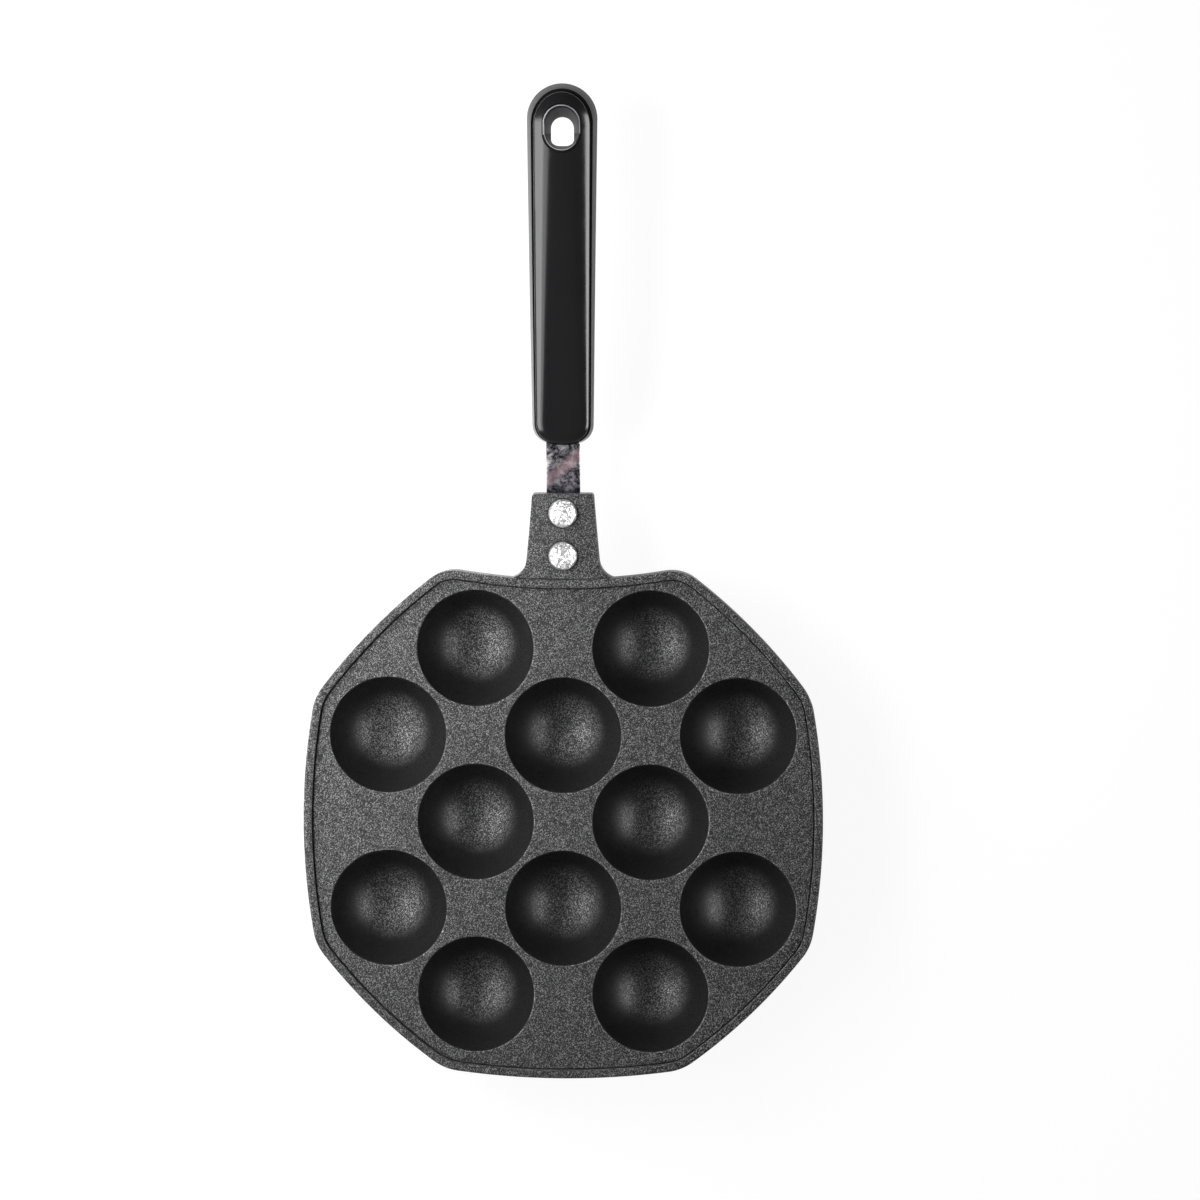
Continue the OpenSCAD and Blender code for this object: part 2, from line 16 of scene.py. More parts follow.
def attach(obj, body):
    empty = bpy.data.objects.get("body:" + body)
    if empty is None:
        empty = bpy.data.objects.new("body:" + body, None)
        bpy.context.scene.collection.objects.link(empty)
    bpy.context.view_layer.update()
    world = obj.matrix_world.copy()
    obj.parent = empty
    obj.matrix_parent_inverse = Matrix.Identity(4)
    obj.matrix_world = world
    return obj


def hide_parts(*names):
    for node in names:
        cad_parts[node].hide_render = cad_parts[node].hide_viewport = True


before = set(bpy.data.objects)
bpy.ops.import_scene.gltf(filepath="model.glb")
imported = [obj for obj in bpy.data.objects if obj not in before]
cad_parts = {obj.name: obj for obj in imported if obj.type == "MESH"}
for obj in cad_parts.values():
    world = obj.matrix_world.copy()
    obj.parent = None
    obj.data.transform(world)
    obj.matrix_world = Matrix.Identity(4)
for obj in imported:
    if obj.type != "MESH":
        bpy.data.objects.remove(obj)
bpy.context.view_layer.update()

scene = bpy.context.scene


# Camera

CAMERA_AT = Vector((0.0786, 0.2185, 1.9976))
CAMERA_AIM = Vector((0.0128, -0.0051, 0.022))
CAMERA_LENS = 173.06
SENSOR = 36.0
VIEW_END = 50.0
PICTURE_UP = Vector((0, 1, 0))


def new_object(name, data):
    obj = bpy.data.objects.new(name, data)
    scene.collection.objects.link(obj)
    return obj


def look(obj, at, aim):
    """Places an object so that its -Z looks at a point and its Y is close to the picture's up."""
    back = (at - aim).normalized()
    side = PICTURE_UP.cross(back).normalized()
    top = back.cross(side)
    turn = Matrix((side, top, back)).transposed()
    obj.matrix_world = Matrix.Translation(at) @ turn.to_4x4()


def make_camera():
    data = bpy.data.cameras.new("camera")
    data.lens = CAMERA_LENS
    data.sensor_width = SENSOR
    data.clip_end = VIEW_END
    obj = new_object("camera", data)
    look(obj, CAMERA_AT, CAMERA_AIM)
    scene.camera = obj


# Node trees

class Graph:
    """A node tree with a short way to fill it."""

    def __init__(self, tree):
        self.nodes = tree.nodes
        self.links = tree.links
        self.nodes.clear()

    def add(self, kind, values=None, take=0, **settings):
        """Adds a node and gives one of its outputs; a value may be another node's output."""
        node = self.nodes.new(kind)
        for name, value in settings.items():
            setattr(node, name, value)
        for socket, value in (values or {}).items():
            if isinstance(value, bpy.types.NodeSocket):
                self.links.new(value, node.inputs[socket])
            else:
                node.inputs[socket].default_value = value
        return node.outputs[take] if node.outputs else None

    def ramp(self, source, stops):
        """Colours along a value, from stops that hold a place and a colour."""
        color = self.add("ShaderNodeValToRGB", {0: source})
        elements = color.node.color_ramp.elements
        elements[0].position = stops[0][0]
        elements[1].position = stops[-1][0]
        for place, _ in stops[1:-1]:
            elements.new(place)
        for element, (_, shade) in zip(elements, stops):
            element.color = shade
        return color

    def mapped(self, source, to, span=(0, 1), **settings):
        """A value carried from a span to another one."""
        ends = {"From Min": span[0], "From Max": span[1], "To Min": to[0], "To Max": to[1]}
        return self.add("ShaderNodeMapRange", {"Value": source, **ends}, **settings)

    def mixed(self, share, a, b, **settings):
        """Colour a where the share is 0, and b where it is 1."""
        return self.add("ShaderNodeMix", {0: share, 6: a, 7: b}, 2, data_type="RGBA", **settings)

    def calc(self, operation, *values):
        return self.add("ShaderNodeMath", dict(enumerate(values)), operation=operation)

    def noise(self, at, scale, detail=2, roughness=0.5, distortion=0):
        values = {"Scale": scale, "Detail": detail, "Roughness": roughness, "Distortion": distortion}
        return self.add("ShaderNodeTexNoise", {"Vector": at, **values}, "Fac")

    def bump(self, height, strength, distance):
        values = {"Height": height, "Strength": strength, "Distance": distance}
        return self.add("ShaderNodeBump", values)


def tinted(level, blue=1):
    """A grey whose blue is scaled."""
    return (level, level, level * blue, 1)


def new_material(name):
    """A material, its empty node tree and the place on the object."""
    mat = bpy.data.materials.new(name)
    mat.use_nodes = True
    graph = Graph(mat.node_tree)
    return mat, graph, graph.add("ShaderNodeTexCoord", take="Object")


def shaded(mat, graph, values):
    """The material, with a shader of the given values."""
    bsdf = graph.add("ShaderNodeBsdfPrincipled", values)
    graph.add("ShaderNodeOutputMaterial", {0: bsdf})
    return mat


# Studio

# Brightness of the surroundings by the height of a ray's direction
SKY = ((0.02, 0.9), (0.2, 0.4), (0.6, 0.09))
FLOOR_HALF = 6.0
# How much light the floor scatters, for the camera and for all else
FLOOR_SEEN = 0.1
FLOOR_LIT = 0.5
# Glow of the floor in mirrors, and what the camera sees beyond that
FLOOR_GLOW = 0.5
FLOOR_EXTRA = 0.43


def softbox(name, angle, turn, distance, size, radiance, diffuse=True, glossy=True):
    """An area lamp at an angle from straight up, turned round Z, aimed at the pan."""
    width, length = size
    data = bpy.data.lights.new(name, "AREA")
    data.shape = "RECTANGLE"
    data.size = width
    data.size_y = length
    data.energy = radiance * width * length * math.pi
    obj = new_object(name, data)
    a = math.radians(angle)
    t = math.radians(turn)
    away = Vector((math.sin(a) * math.cos(t), math.sin(a) * math.sin(t), math.cos(a)))
    look(obj, away * distance, Vector((0, 0, 0)))
    obj.visible_camera = False
    obj.visible_diffuse = diffuse
    obj.visible_glossy = glossy


def make_world():
    """Surroundings that fade upwards, with a white background for the camera."""
    world = bpy.data.worlds.new("studio")
    scene.world = world
    world.use_nodes = True
    graph = Graph(world.node_tree)
    ray = graph.add("ShaderNodeTexCoord", take="Generated")
    height = graph.add("ShaderNodeSeparateXYZ", {0: ray}, "Z")
    sky = graph.ramp(height, [(place, tinted(level)) for place, level in SKY])
    fill = graph.add("ShaderNodeBackground", {"Color": sky})
    seen = graph.add("ShaderNodeBackground", {"Color": tinted(1)})
    by_camera = graph.add("ShaderNodeLightPath", take="Is Camera Ray")
    both = graph.add("ShaderNodeMixShader", {0: by_camera, 1: fill, 2: seen})
    graph.add("ShaderNodeOutputWorld", {0: both})


def make_floor():
    """Pale floor that keeps a soft shadow and reads white where it is open."""
    mesh = bpy.data.meshes.new("floor")
    half = FLOOR_HALF
    corners = [(-half, -half, 0), (half, -half, 0), (half, half, 0), (-half, half, 0)]
    mesh.from_pydata(corners, [], [(0, 1, 2, 3)])
    obj = new_object("floor", mesh)
    mat, graph, _ = new_material("floor")
    by_camera = graph.add("ShaderNodeLightPath", take="Is Camera Ray")
    mirrored = graph.add("ShaderNodeLightPath", take="Is Glossy Ray")
    paint = graph.mixed(by_camera, tinted(FLOOR_LIT), tinted(FLOOR_SEEN))
    glow = graph.calc("MULTIPLY", graph.calc("MAXIMUM", by_camera, mirrored), FLOOR_GLOW)
    lift = graph.calc("MULTIPLY_ADD", by_camera, FLOOR_EXTRA, glow)
    matt = graph.add("ShaderNodeBsdfDiffuse", {"Color": paint})
    light = graph.add("ShaderNodeEmission", {"Strength": lift})
    both = graph.add("ShaderNodeAddShader", {0: matt, 1: light})
    graph.add("ShaderNodeOutputMaterial", {0: both})
    mesh.materials.append(mat)


# Materials

FLECK_SCALE = 4200
# Places of the coat's darkest, middle and lightest flecks in their pattern, and their brightness
FLECKS = ((0.3, 0.004), (0.6, 0.03), (0.85, 0.42))
COAT_BLUE = 1.01
COAT_ROUGH = 0.42
PORE_SCALE = 2200
PORE_STRENGTH = 0.35
PORE_DEPTH = 0.0001
# The cup coat is a lighter copy of the plate's coat: painted light in the cups
CUP_LIT_SHARE = 0.82
# Upward share of a cup's normal where its wall turns to black painted shade, and where it is fully
# speckled
CUP_WALL_SHADE_SPAN = (0.69, 0.97)
CUP_WALL_SHADE_LEVEL = 0.0075
# Roughness of a cup's darkest and lightest flecks
CUP_ROUGH = (0.76, 0.18)
RESIN_SCALE = 90
RESIN_LEVEL = 0.006
RESIN_BLUE = 1.08
RESIN_IOR = 1.6
# Patches of the strip, from stained to bright
PATCHES = ((0.4, (0.03, 0.03, 0.045, 1)), (0.51, (0.3, 0.29, 0.32, 1)), (0.62, (0.72, 0.7, 0.71, 1)))
STRIP_ROUGH = (0.25, 0.55)
# Noise scales of the rivets' roughness and of their waves, and the waves' strength and height
RIVET_SCALE = 600
WAVE_SCALE = 430
WAVE_DISTORTION = 2
WAVE_STRENGTH = 0.9
WAVE_HEIGHT = 0.0008
# Middle, turn, half width, strength and colour of the warm band on the strip
BAND_AT = (0.003, 0.0428, 0)
BAND_TURN = math.radians(40)
BAND_HALF_W = 0.0032
BAND_SHARE = 0.55
BAND_COLOR = (0.9, 0.62, 0.68, 1)
# Painted shade on the strip where it comes out from under the lug: where it starts to fade and where it
# ends, its strength and its colour
LUG_SHADE_SPAN = (0.032, 0.041)
LUG_SHADE_SHARE = 0.75
LUG_SHADE_COLOR = (0.3, 0.3, 0.36, 1)
RIVET_COLOR = (0.97, 0.97, 0.97, 1)
RIVET_METALLIC = 0.95
RIVET_ROUGH = (0.22, 0.42)


def speckle(graph, at, share):
    """The coat's fleck pattern, its colour at a share of the full brightness, and its pores."""
    fleck = graph.add("ShaderNodeTexVoronoi", {"Vector": at, "Scale": FLECK_SCALE}, "Color")
    color = graph.ramp(fleck, [(place, tinted(level * share, COAT_BLUE)) for place, level in FLECKS])
    pores = graph.bump(graph.noise(at, scale=PORE_SCALE), PORE_STRENGTH, PORE_DEPTH)
    return fleck, color, pores


def coating(name, share):
    """Speckled coat, with the share of the full brightness that it keeps."""
    mat, graph, at = new_material(name)
    _, color, pores = speckle(graph, at, share)
    return shaded(mat, graph, {"Base Color": color, "Roughness": COAT_ROUGH, "Normal": pores})


def cup_coating():
    """The coat inside a cup: a lighter copy of the coat, which is painted light, with painted shade
    that turns the wall black where it is steep.
    """
    mat, graph, at = new_material("cup_coating")
    fleck, color, pores = speckle(graph, at, CUP_LIT_SHARE)
    normal = graph.add("ShaderNodeNewGeometry", take="Normal")
    upward = graph.add("ShaderNodeSeparateXYZ", {0: normal}, "Z")
    # Painted shade: the coat turns black where the cup's wall is steep
    level = graph.mapped(upward, (0, 1), CUP_WALL_SHADE_SPAN, interpolation_type="SMOOTHSTEP")
    color = graph.mixed(level, tinted(CUP_WALL_SHADE_LEVEL), color)
    rough = graph.mapped(fleck, CUP_ROUGH)
    return shaded(mat, graph, {"Base Color": color, "Roughness": rough, "Normal": pores})


def plastic(name, rough, ior=RESIN_IOR, level=RESIN_LEVEL):
    """Moulded resin between two roughnesses, black unless a level says otherwise."""
    mat, graph, at = new_material(name)
    rough = graph.mapped(graph.noise(at, scale=RESIN_SCALE), rough)
    color = tinted(level, RESIN_BLUE)
    return shaded(mat, graph, {"Base Color": color, "Roughness": rough, "IOR": ior})


def rolled_steel():
    """Steel strip, stained in patches, with a faint warm band across it and painted shade where it
    comes out from under the lug.
    """
    mat, graph, at = new_material("strip_steel")
    patch = graph.noise(at, scale=420, detail=4, roughness=0.75, distortion=0.3)
    color = graph.ramp(patch, PATCHES)
    slant = {"Vector": at, "Location": BAND_AT, "Rotation": (0, 0, BAND_TURN)}
    along = graph.add("ShaderNodeMapping", slant, vector_type="TEXTURE")
    across = graph.calc("ABSOLUTE", graph.add("ShaderNodeSeparateXYZ", {0: along}, "Y"))
    warm = graph.mapped(across, (0, BAND_SHARE), (BAND_HALF_W, 0), interpolation_type="SMOOTHSTEP")
    color = graph.mixed(warm, color, BAND_COLOR)
    # Painted shade, darkest at the lug's end and fading along the strip
    y = graph.add("ShaderNodeSeparateXYZ", {0: at}, "Y")
    lug_shade = graph.mapped(y, (LUG_SHADE_SHARE, 0), LUG_SHADE_SPAN)
    color = graph.mixed(lug_shade, color, LUG_SHADE_COLOR, blend_type="MULTIPLY")
    rough = graph.mapped(patch, STRIP_ROUGH)
    return shaded(mat, graph, {"Base Color": color, "Roughness": rough, "Metallic": 1})


def rivet_metal():
    """Bright metal with a wavy surface."""
    mat, graph, at = new_material("rivet_metal")
    rough = graph.mapped(graph.noise(at, scale=RIVET_SCALE), RIVET_ROUGH)
    wave = graph.noise(at, scale=WAVE_SCALE, distortion=WAVE_DISTORTION)
    wave = graph.bump(wave, WAVE_STRENGTH, WAVE_HEIGHT)
    values = {"Base Color": RIVET_COLOR, "Metallic": RIVET_METALLIC, "Roughness": rough, "Normal": wave}
    return shaded(mat, graph, values)


# Sizes, as the solids have them

FRAME_Y = -82.5
CUP_R = 20.0
CUP_PITCH = 30.3
CUP_LIP_R = 0.6
CUP_LIP_RISE = 0.92
CUP_WALL = 2.4
FOOT_D = 9.0
PAN_W = 180.0
FRONT_REACH = 90.0
REAR_REACH = 84.5
FRONT_CORNER_X = 41.3
REAR_CORNER_X = 41.0
SIDE_CORNER_Y = 43.3
SIDE_BOW = 4.1
FRONT_BOW = 3.2
SLANT_BOW = 2.5
REAR_DIP = 4.0
CORNER_R = 18.0
REAR_CORNER_R = 14.0
PLATE_T = 2.5
RIM_H = 1.4
RIM_W = 2.9
RIM_EDGE_R = 0.5
RIM_INNER_R = 0.25
SKIRT_H = 10.0
SKIRT_DRAFT = 2.5
SKIRT_T = 2.2
LUG_L = 29.7
LUG_END_W = 21.2
LUG_ROOT_W = 26.4
LUG_T = 7.0
LUG_DROP = 0.5
LUG_WAIST = 0.1
LUG_FLARE_R = 7.0
LUG_FLARE_REACH = 1.55
LUG_FLARE_DROP = 0.3
LUG_BASE_R = 0.45
LUG_CORNER_R = 1.0
LUG_EDGE_R = 0.4
CHANNEL_DEPTH = 1.6
RIVET_D = 5.0
RIVET_HEAD_D = 10.0
RIVET_HEAD_H = 2.7
RIVET_TAIL_D = 8.4
RIVET_TAIL_H = 1.7
RIVET_EDGE_H = 0.4
RIVET_INSET = 6.7
RIVET_PITCH = 14.7
RIVET_FIT = 0.15
TANG_W = 11.6
TANG_T = 2.5
TANG_START = 1.8
TANG_SHOW = 16.3
TANG_RUN = 1.5
TANG_BEND_R = 20.0
TANG_GRIP = 46.0
TANG_CORNER_R = 2.0
LOCK_D = 5.0
LOCK_PITCH = 20.0
LOCK_INSET = 9.0
TANG_FIT = 0.15
OVERALL_L = 345.0
HANDLE_ROOT_W = 21.2
HANDLE_TIP_W = 24.1
HANDLE_T = 15.2
HANDLE_NOSE_L = 8.3
HANDLE_RISE = math.radians(3)
HANDLE_BOW = 3.0
BEAD_W = 2.0
BEAD_H = 3.0
GROOVE_DEPTH = 0.8
GROOVE_W = 0.45
CROWN_TILT = math.radians(25)
BEAD_ROOT_SHARE = 0.66
CROWN_ROOT_SHARE = 0.3
RECESS_W = 12.4
RECESS_L = 15.6
RECESS_INSET = 14.6
RECESS_EDGE = 4.6
HOLE_W = 7.8
HOLE_L = 10.4
HOLE_LEDGE = 0.25
LUG_UNDER_R = 0.4
STRIP_EDGE_R = 0.25

# Small roundings of the cast and moulded edges
UNDER_FILLET = 1.5
TOE_R = 0.6
RECESS_LIP_R = 0.15
RECESS_FLOOR_R = 0.15
HOLE_EDGE_R = 0.25
HOLE_DRAFT = 0.35

# Fine forms that only this scene has, or has in another size than the solids: the handle's bead,
# the edge of its panel and its nose
BEAD_CURVE = 0.4
BEAD_TRIM = 0.5
PANEL_EDGE_R = 0.35
NOSE_SHARE = 0.5
NOSE_POWER = 2 / 2.4
# Distances from the two walls of the groove beside the bead, with shares of its depth
GROOVE_BEAD_SIDE = ((0.03, 0.8), (0.1, 1))
GROOVE_PANEL_SIDE = ((0.12, 1), (0.02, 0.8))
# The ring round the recess, the moat round the ring, and where their far part starts: there the ring's
# crest carries a painted highlight and the slope is satin, while nearer the pan both carry painted
# shade
RIB_W = 0.35
MOAT_W = 0.4
MOAT_DEPTH = 0.3
FAR_PART_FROM = -1.8
# The corners of the hanging hole's flat end, its distance from the recess's end, and a least ledge
HOLE_CORNER_R = 2.2
HOLE_FLAT = 0.8
HOLE_MARGIN = 0.1
# Creases along the foot of the rim, where the lug's top meets the rim, and round the rivets' heads;
# their faces carry the darker crease coat, which is painted shade
GUTTER_W = 0.4
GUTTER_DEPTH = 0.3
GUTTER_PROFILE = ((0, 1), (0.8, 1), (1, 0.3), (1.3, 0))
CREASE_W = 0.35
CREASE_DEPTH = 0.4
CREASE_REACH = 20.0
CREASE_OVERLAP = 0.02
CREASE_SPARE = 2.0
HEAD_GAP = 0.3
HEAD_OVERHANG = 0.25

DOME_R = CUP_R + CUP_WALL
CUP_Z = math.sqrt(DOME_R ** 2 - FOOT_D ** 2 / 4)
PLATE_TOP = CUP_Z + CUP_LIP_R * CUP_LIP_RISE
PLATE_BOTTOM = PLATE_TOP - PLATE_T
RIM_TOP = PLATE_TOP + RIM_H
SKIRT_BOTTOM = RIM_TOP - SKIRT_H
SKIRT_INSET = SKIRT_H * math.tan(math.radians(SKIRT_DRAFT))
LUG_TOP = RIM_TOP - LUG_DROP
LUG_BOTTOM = LUG_TOP - LUG_T
LUG_END_Y = REAR_REACH + LUG_L
RIVET_REAR_Y = LUG_END_Y - RIVET_INSET
RIVET_FRONT_Y = RIVET_REAR_Y - RIVET_PITCH
TANG_TOP = LUG_BOTTOM + CHANNEL_DEPTH
TANG_BOTTOM = TANG_TOP - TANG_T
TANG_START_Y = REAR_REACH + TANG_START
BEND_Y = LUG_END_Y + TANG_RUN
HANDLE_Y = LUG_END_Y + TANG_SHOW
HANDLE_END_Y = OVERALL_L - FRONT_REACH
HANDLE_L = (HANDLE_END_Y - HANDLE_Y) / math.cos(HANDLE_RISE)
TANG_RISE = HANDLE_RISE + math.atan(4 * HANDLE_BOW / HANDLE_L)
TANG_Z = TANG_TOP - TANG_T / 2
BEND_END_Y = BEND_Y + TANG_BEND_R * math.sin(TANG_RISE)
BEND_END_Z = TANG_Z + TANG_BEND_R * (1 - math.cos(TANG_RISE))
TANG_TAIL_L = (HANDLE_Y - BEND_END_Y) / math.cos(TANG_RISE) + TANG_GRIP
HANDLE_Z = BEND_END_Z + (HANDLE_Y - BEND_END_Y) * math.tan(TANG_RISE)
CREASE_LEVELS = (LUG_TOP - CREASE_DEPTH, LUG_TOP + CREASE_SPARE)
STRIP_RUN = BEND_Y - TANG_START_Y + TANG_BEND_R * TANG_RISE
STRIP_L = STRIP_RUN + TANG_TAIL_L
PANEL_INSET = BEAD_W + GROOVE_W
PANEL_ROUND_W = PANEL_EDGE_R * (1 - math.sin(CROWN_TILT))
PANEL_ROUND_H = PANEL_EDGE_R * math.cos(CROWN_TILT)
CROWN_REACH = HANDLE_TIP_W / 2 - PANEL_INSET - PANEL_ROUND_W
CROWN_R = CROWN_REACH / math.sin(CROWN_TILT)
CROWN_BASE = HANDLE_T / 2 - CROWN_R * (1 - math.cos(CROWN_TILT))

CUP_CENTRES = [
    np.array((column * CUP_PITCH, row * CUP_PITCH))
    for row in range(-2, 3)
    for column in range(-2, 3)
    if (row + column) % 2 and abs(row) + abs(column) < 4
]

# Spacing of points on the outlines, and counts of points on the rings
EDGE_STEP = 1.6
CORNER_STEP = 1.3
LUG_STEP = 1.2
LUG_CORNER_STEP = 0.5
STRIP_STEP = 0.8
STRIP_CORNER_STEP = 0.4
CUP_SIDES = 96
RECESS_SIDES = 96
RIVET_SIDES = 64
LOCK_SIDES = 48
# Steps over a quarter turn, from the smallest roundings to a cup's wall
FINE_STEPS = 3
ROUND_STEPS = 4
LIP_STEPS = 5
RIM_STEPS = 6
BALL_STEPS = 24
# Steps over the handle's bead, the edge of its panel, its moat and the slope of its hole
BEAD_STEPS = 10
PANEL_EDGE_STEPS = 6
MOAT_STEPS = 8
SLOPE_STEPS = 8
# Bows of edges that are straight to the eye
LUG_BOW = 0.005
STRIP_BOW = 0.001
# Length by which a cutter stands out of what it cuts
CUT_SPARE = 3.0


# Outlines seen from above

def unit(v):
    return v / np.hypot(*v)


def turned(v):
    return np.array((v[1], -v[0]))


def bowed_edge(a, b, bow):
    """Circle through a and b that bows out by bow, as (centre, radius, side)."""
    half = np.hypot(*(b - a)) / 2
    radius = (half ** 2 + bow ** 2) / (2 * abs(bow))
    side = math.copysign(1, bow)
    return (a + b) / 2 - turned(unit(b - a)) * (radius - abs(bow)) * side, radius, side


def meeting(c1, r1, c2, r2, guess):
    """The point where two circles meet that is nearer to a guess."""
    gap = np.hypot(*(c2 - c1))
    along = (r1 ** 2 - r2 ** 2 + gap ** 2) / (2 * gap)
    across = turned(unit(c2 - c1)) * math.sqrt(max(0, r1 ** 2 - along ** 2))
    foot = c1 + unit(c2 - c1) * along
    return min((foot + across, foot - across), key=lambda p: np.hypot(*(p - guess)))


def arc_points(centre, start, end, steps, side):
    """Points of an arc with their outward normals, without its last point."""
    a = math.atan2(*(start - centre)[::-1])
    b = math.atan2(*(end - centre)[::-1])
    sweep = (b - a + 3 * math.pi) % (2 * math.pi) - math.pi
    r = np.hypot(*(start - centre))
    t = a + sweep * np.arange(steps) / steps
    ray = np.stack((np.cos(t), np.sin(t)), 1)
    return centre + ray * r, ray * side


class Outline:
    """A closed line, anticlockwise, with the outward normal at each point."""

    def __init__(self, points, normals):
        self.points = points
        self.normals = normals

    def inset(self, distance):
        return self.points - self.normals * distance


def outline(corners, bows, radii, step, corner_step):
    """Outline with bowed edges and rounded corners, sampled at about the given steps."""
    corners = [np.array(c, float) for c in corners]
    n = len(corners)
    edges = [bowed_edge(corners[i], corners[(i + 1) % n], bows[i]) for i in range(n)]
    arcs = []
    for i in range(n):
        last, here, after = corners[i - 1], corners[i], corners[(i + 1) % n]
        inward = -unit(turned(unit(here - last)) + turned(unit(after - here)))
        c1, r1, s1 = edges[i - 1]
        c2, r2, s2 = edges[i]
        centre = meeting(c1, r1 - s1 * radii[i], c2, r2 - s2 * radii[i], here + inward * radii[i])
        arcs.append((centre, c1 + unit(centre - c1) * r1, c2 + unit(centre - c2) * r2))
    points, normals = [], []
    for i in range(n):
        centre, first, last = arcs[i]
        following = arcs[(i + 1) % n][1]
        corner_steps = max(3, round(np.hypot(*(last - first)) / corner_step))
        edge_steps = max(1, round(np.hypot(*(following - last)) / step))
        for part in (
            arc_points(centre, first, last, corner_steps, math.copysign(1, radii[i])),
            arc_points(edges[i][0], last, following, edge_steps, edges[i][2]),
        ):
            points.append(part[0])
            normals.append(part[1])
    return Outline(np.concatenate(points), np.concatenate(normals))


def circle(radius, count, centre=(0, 0)):
    t = 2 * math.pi * np.arange(count) / count
    return np.array(centre) + radius * np.stack((np.cos(t), np.sin(t)), 1)


def slot_line(width, length, count):
    """Outline of a slot along Y, centred, with the same count of points whatever its size."""
    t = 2 * math.pi * (np.arange(count) + 0.5) / count
    ray = np.stack((np.cos(t), np.sin(t)), 1)
    points = ray * width / 2
    points[:, 1] += np.sign(ray[:, 1]) * (length - width) / 2
    return Outline(points, ray)


def with_normals(points):
    """An outline through points, with normals from their neighbours."""
    along = np.roll(points, -1, 0) - np.roll(points, 1, 0)
    along /= np.hypot(*along.T)[:, None]
    return Outline(points, np.stack((along[:, 1], -along[:, 0]), 1))


def slot_reach(width, length, middle, rays, start, corner_r=None):
    """How far rays from a start point run inside a slot along Y with rounded corners."""
    r = corner_r or width / 2
    halvings = 40
    low = np.zeros(len(rays))
    high = np.full(len(rays), 2.0 * length)
    for _ in range(halvings):
        half = (low + high) / 2
        at = start + rays * half[:, None]
        across = np.maximum(0, np.abs(at[:, 0]) - width / 2 + r)
        beyond = np.maximum(0, np.abs(at[:, 1] - middle) - length / 2 + r)
        within = np.hypot(across, beyond) < r
        low = np.where(within, half, low)
        high = np.where(within, high, half)
    return low


def distance_to(line, points):
    """Distance from points to a closed line."""
    a = line
    d = np.roll(line, -1, 0) - a
    best = np.full(len(points), np.inf)
    batch = 2000
    for start in range(0, len(points), batch):
        p = points[start:start + batch, None] - a[None]
        share = np.clip((p * d).sum(2) / (d * d).sum(1), 0, 1)
        gap = p - share[..., None] * d
        best[start:start + batch] = np.sqrt((gap ** 2).sum(2).min(1))
    return best


def inside(line, points):
    """Which points lie inside a closed line."""
    result = np.zeros(len(points), bool)
    x, y = points[:, 0], points[:, 1]
    for a, b in zip(line, np.roll(line, -1, 0)):
        crosses = (a[1] > y) != (b[1] > y)
        if crosses.any():
            at = a[0] + (y - a[1]) * (b[0] - a[0]) / (b[1] - a[1])
            result ^= crosses & (x < at)
    return result


def quarter(steps):
    """Angles from 0 to a quarter turn."""
    return [math.pi / 2 * i / steps for i in range(steps + 1)]


# Meshes

class Shell:
    """Gathers points and faces of one mesh."""

    def __init__(self):
        self.points = []
        self.faces = []
        self.slots = []

    def ring(self, line, z):
        """Adds a closed ring and returns its indices."""
        start = len(self.points)
        heights = np.broadcast_to(z, len(line))
        self.points.extend((p[0], p[1], h) for p, h in zip(line, heights))
        return list(range(start, len(self.points)))

    def rounded(self, line, inset, z, across, up, angles):
        """Rings over a rounded edge, from its upright side at angle 0 to its flat side."""
        rings = []
        for a in angles:
            ring = line.inset(inset + across * (1 - math.cos(a)))
            rings.append(self.ring(ring, z + up * (1 - math.sin(a))))
        return rings

    def face(self, corners, slot):
        self.faces.append(corners)
        self.slots.append(slot)

    def bridge(self, a, b, slot=0):
        """Quads between two anticlockwise rings; they face out where b is above a."""
        n = len(a)
        slots = np.broadcast_to(slot, n)
        for i in range(n):
            j = (i + 1) % n
            self.face((a[i], a[j], b[j], b[i]), int(slots[i]))

    def stack(self, rings, slot=0):
        for a, b in zip(rings, rings[1:]):
            self.bridge(a, b, slot)

    def cover(self, outer, holes, extra, up, slot=0):
        """Fills the region between an outer ring and holes, over extra points inside it."""
        loops = [outer] + holes
        order = [i for loop in loops for i in loop] + extra
        flat = [Vector(self.points[i][:2]) for i in order]
        edges = []
        base = 0
        for loop in loops:
            n = len(loop)
            edges += [(base + i, base + (i + 1) % n) for i in range(n)]
            base += n
        same_point = 1e-7
        points, _, faces, origin, _, _ = delaunay_2d_cdt(flat, edges, [], 0, same_point)
        points = np.array([tuple(p) for p in points])
        faces = np.array(faces)
        centres = points[faces].mean(1)
        keep = inside(np.array([self.points[i][:2] for i in outer]), centres)
        for hole in holes:
            keep &= ~inside(np.array([self.points[i][:2] for i in hole]), centres)
        for face in faces[keep]:
            corners = tuple(order[origin[i][0]] for i in face)
            self.face(corners if up else corners[::-1], slot)

    def close(self, ring, point, up, slot=0):
        """Closes a ring with a fan round one point."""
        self.points.append(tuple(point))
        tip = len(self.points) - 1
        for a, b in zip(ring, ring[1:] + ring[:1]):
            self.face((a, b, tip) if up else (b, a, tip), slot)

    def mesh(self, name):
        """The mesh in metres, in the row frame."""
        data = bpy.data.meshes.new(name)
        points = np.array(self.points, float)
        points[:, 1] += FRAME_Y
        data.from_pydata((points / 1000).tolist(), [], self.faces)
        data.polygons.foreach_set("material_index", self.slots)
        data.validate()
        data.update()
        return data


def prism(name, line, low, high, slot=0):
    """Upright block over a line."""
    shell = Shell()
    ends = [shell.ring(line, z) for z in (low, high)]
    shell.stack(ends, slot)
    shell.cover(ends[0], [], [], False, slot)
    shell.cover(ends[1], [], [], True, slot)
    return shell.mesh(name)


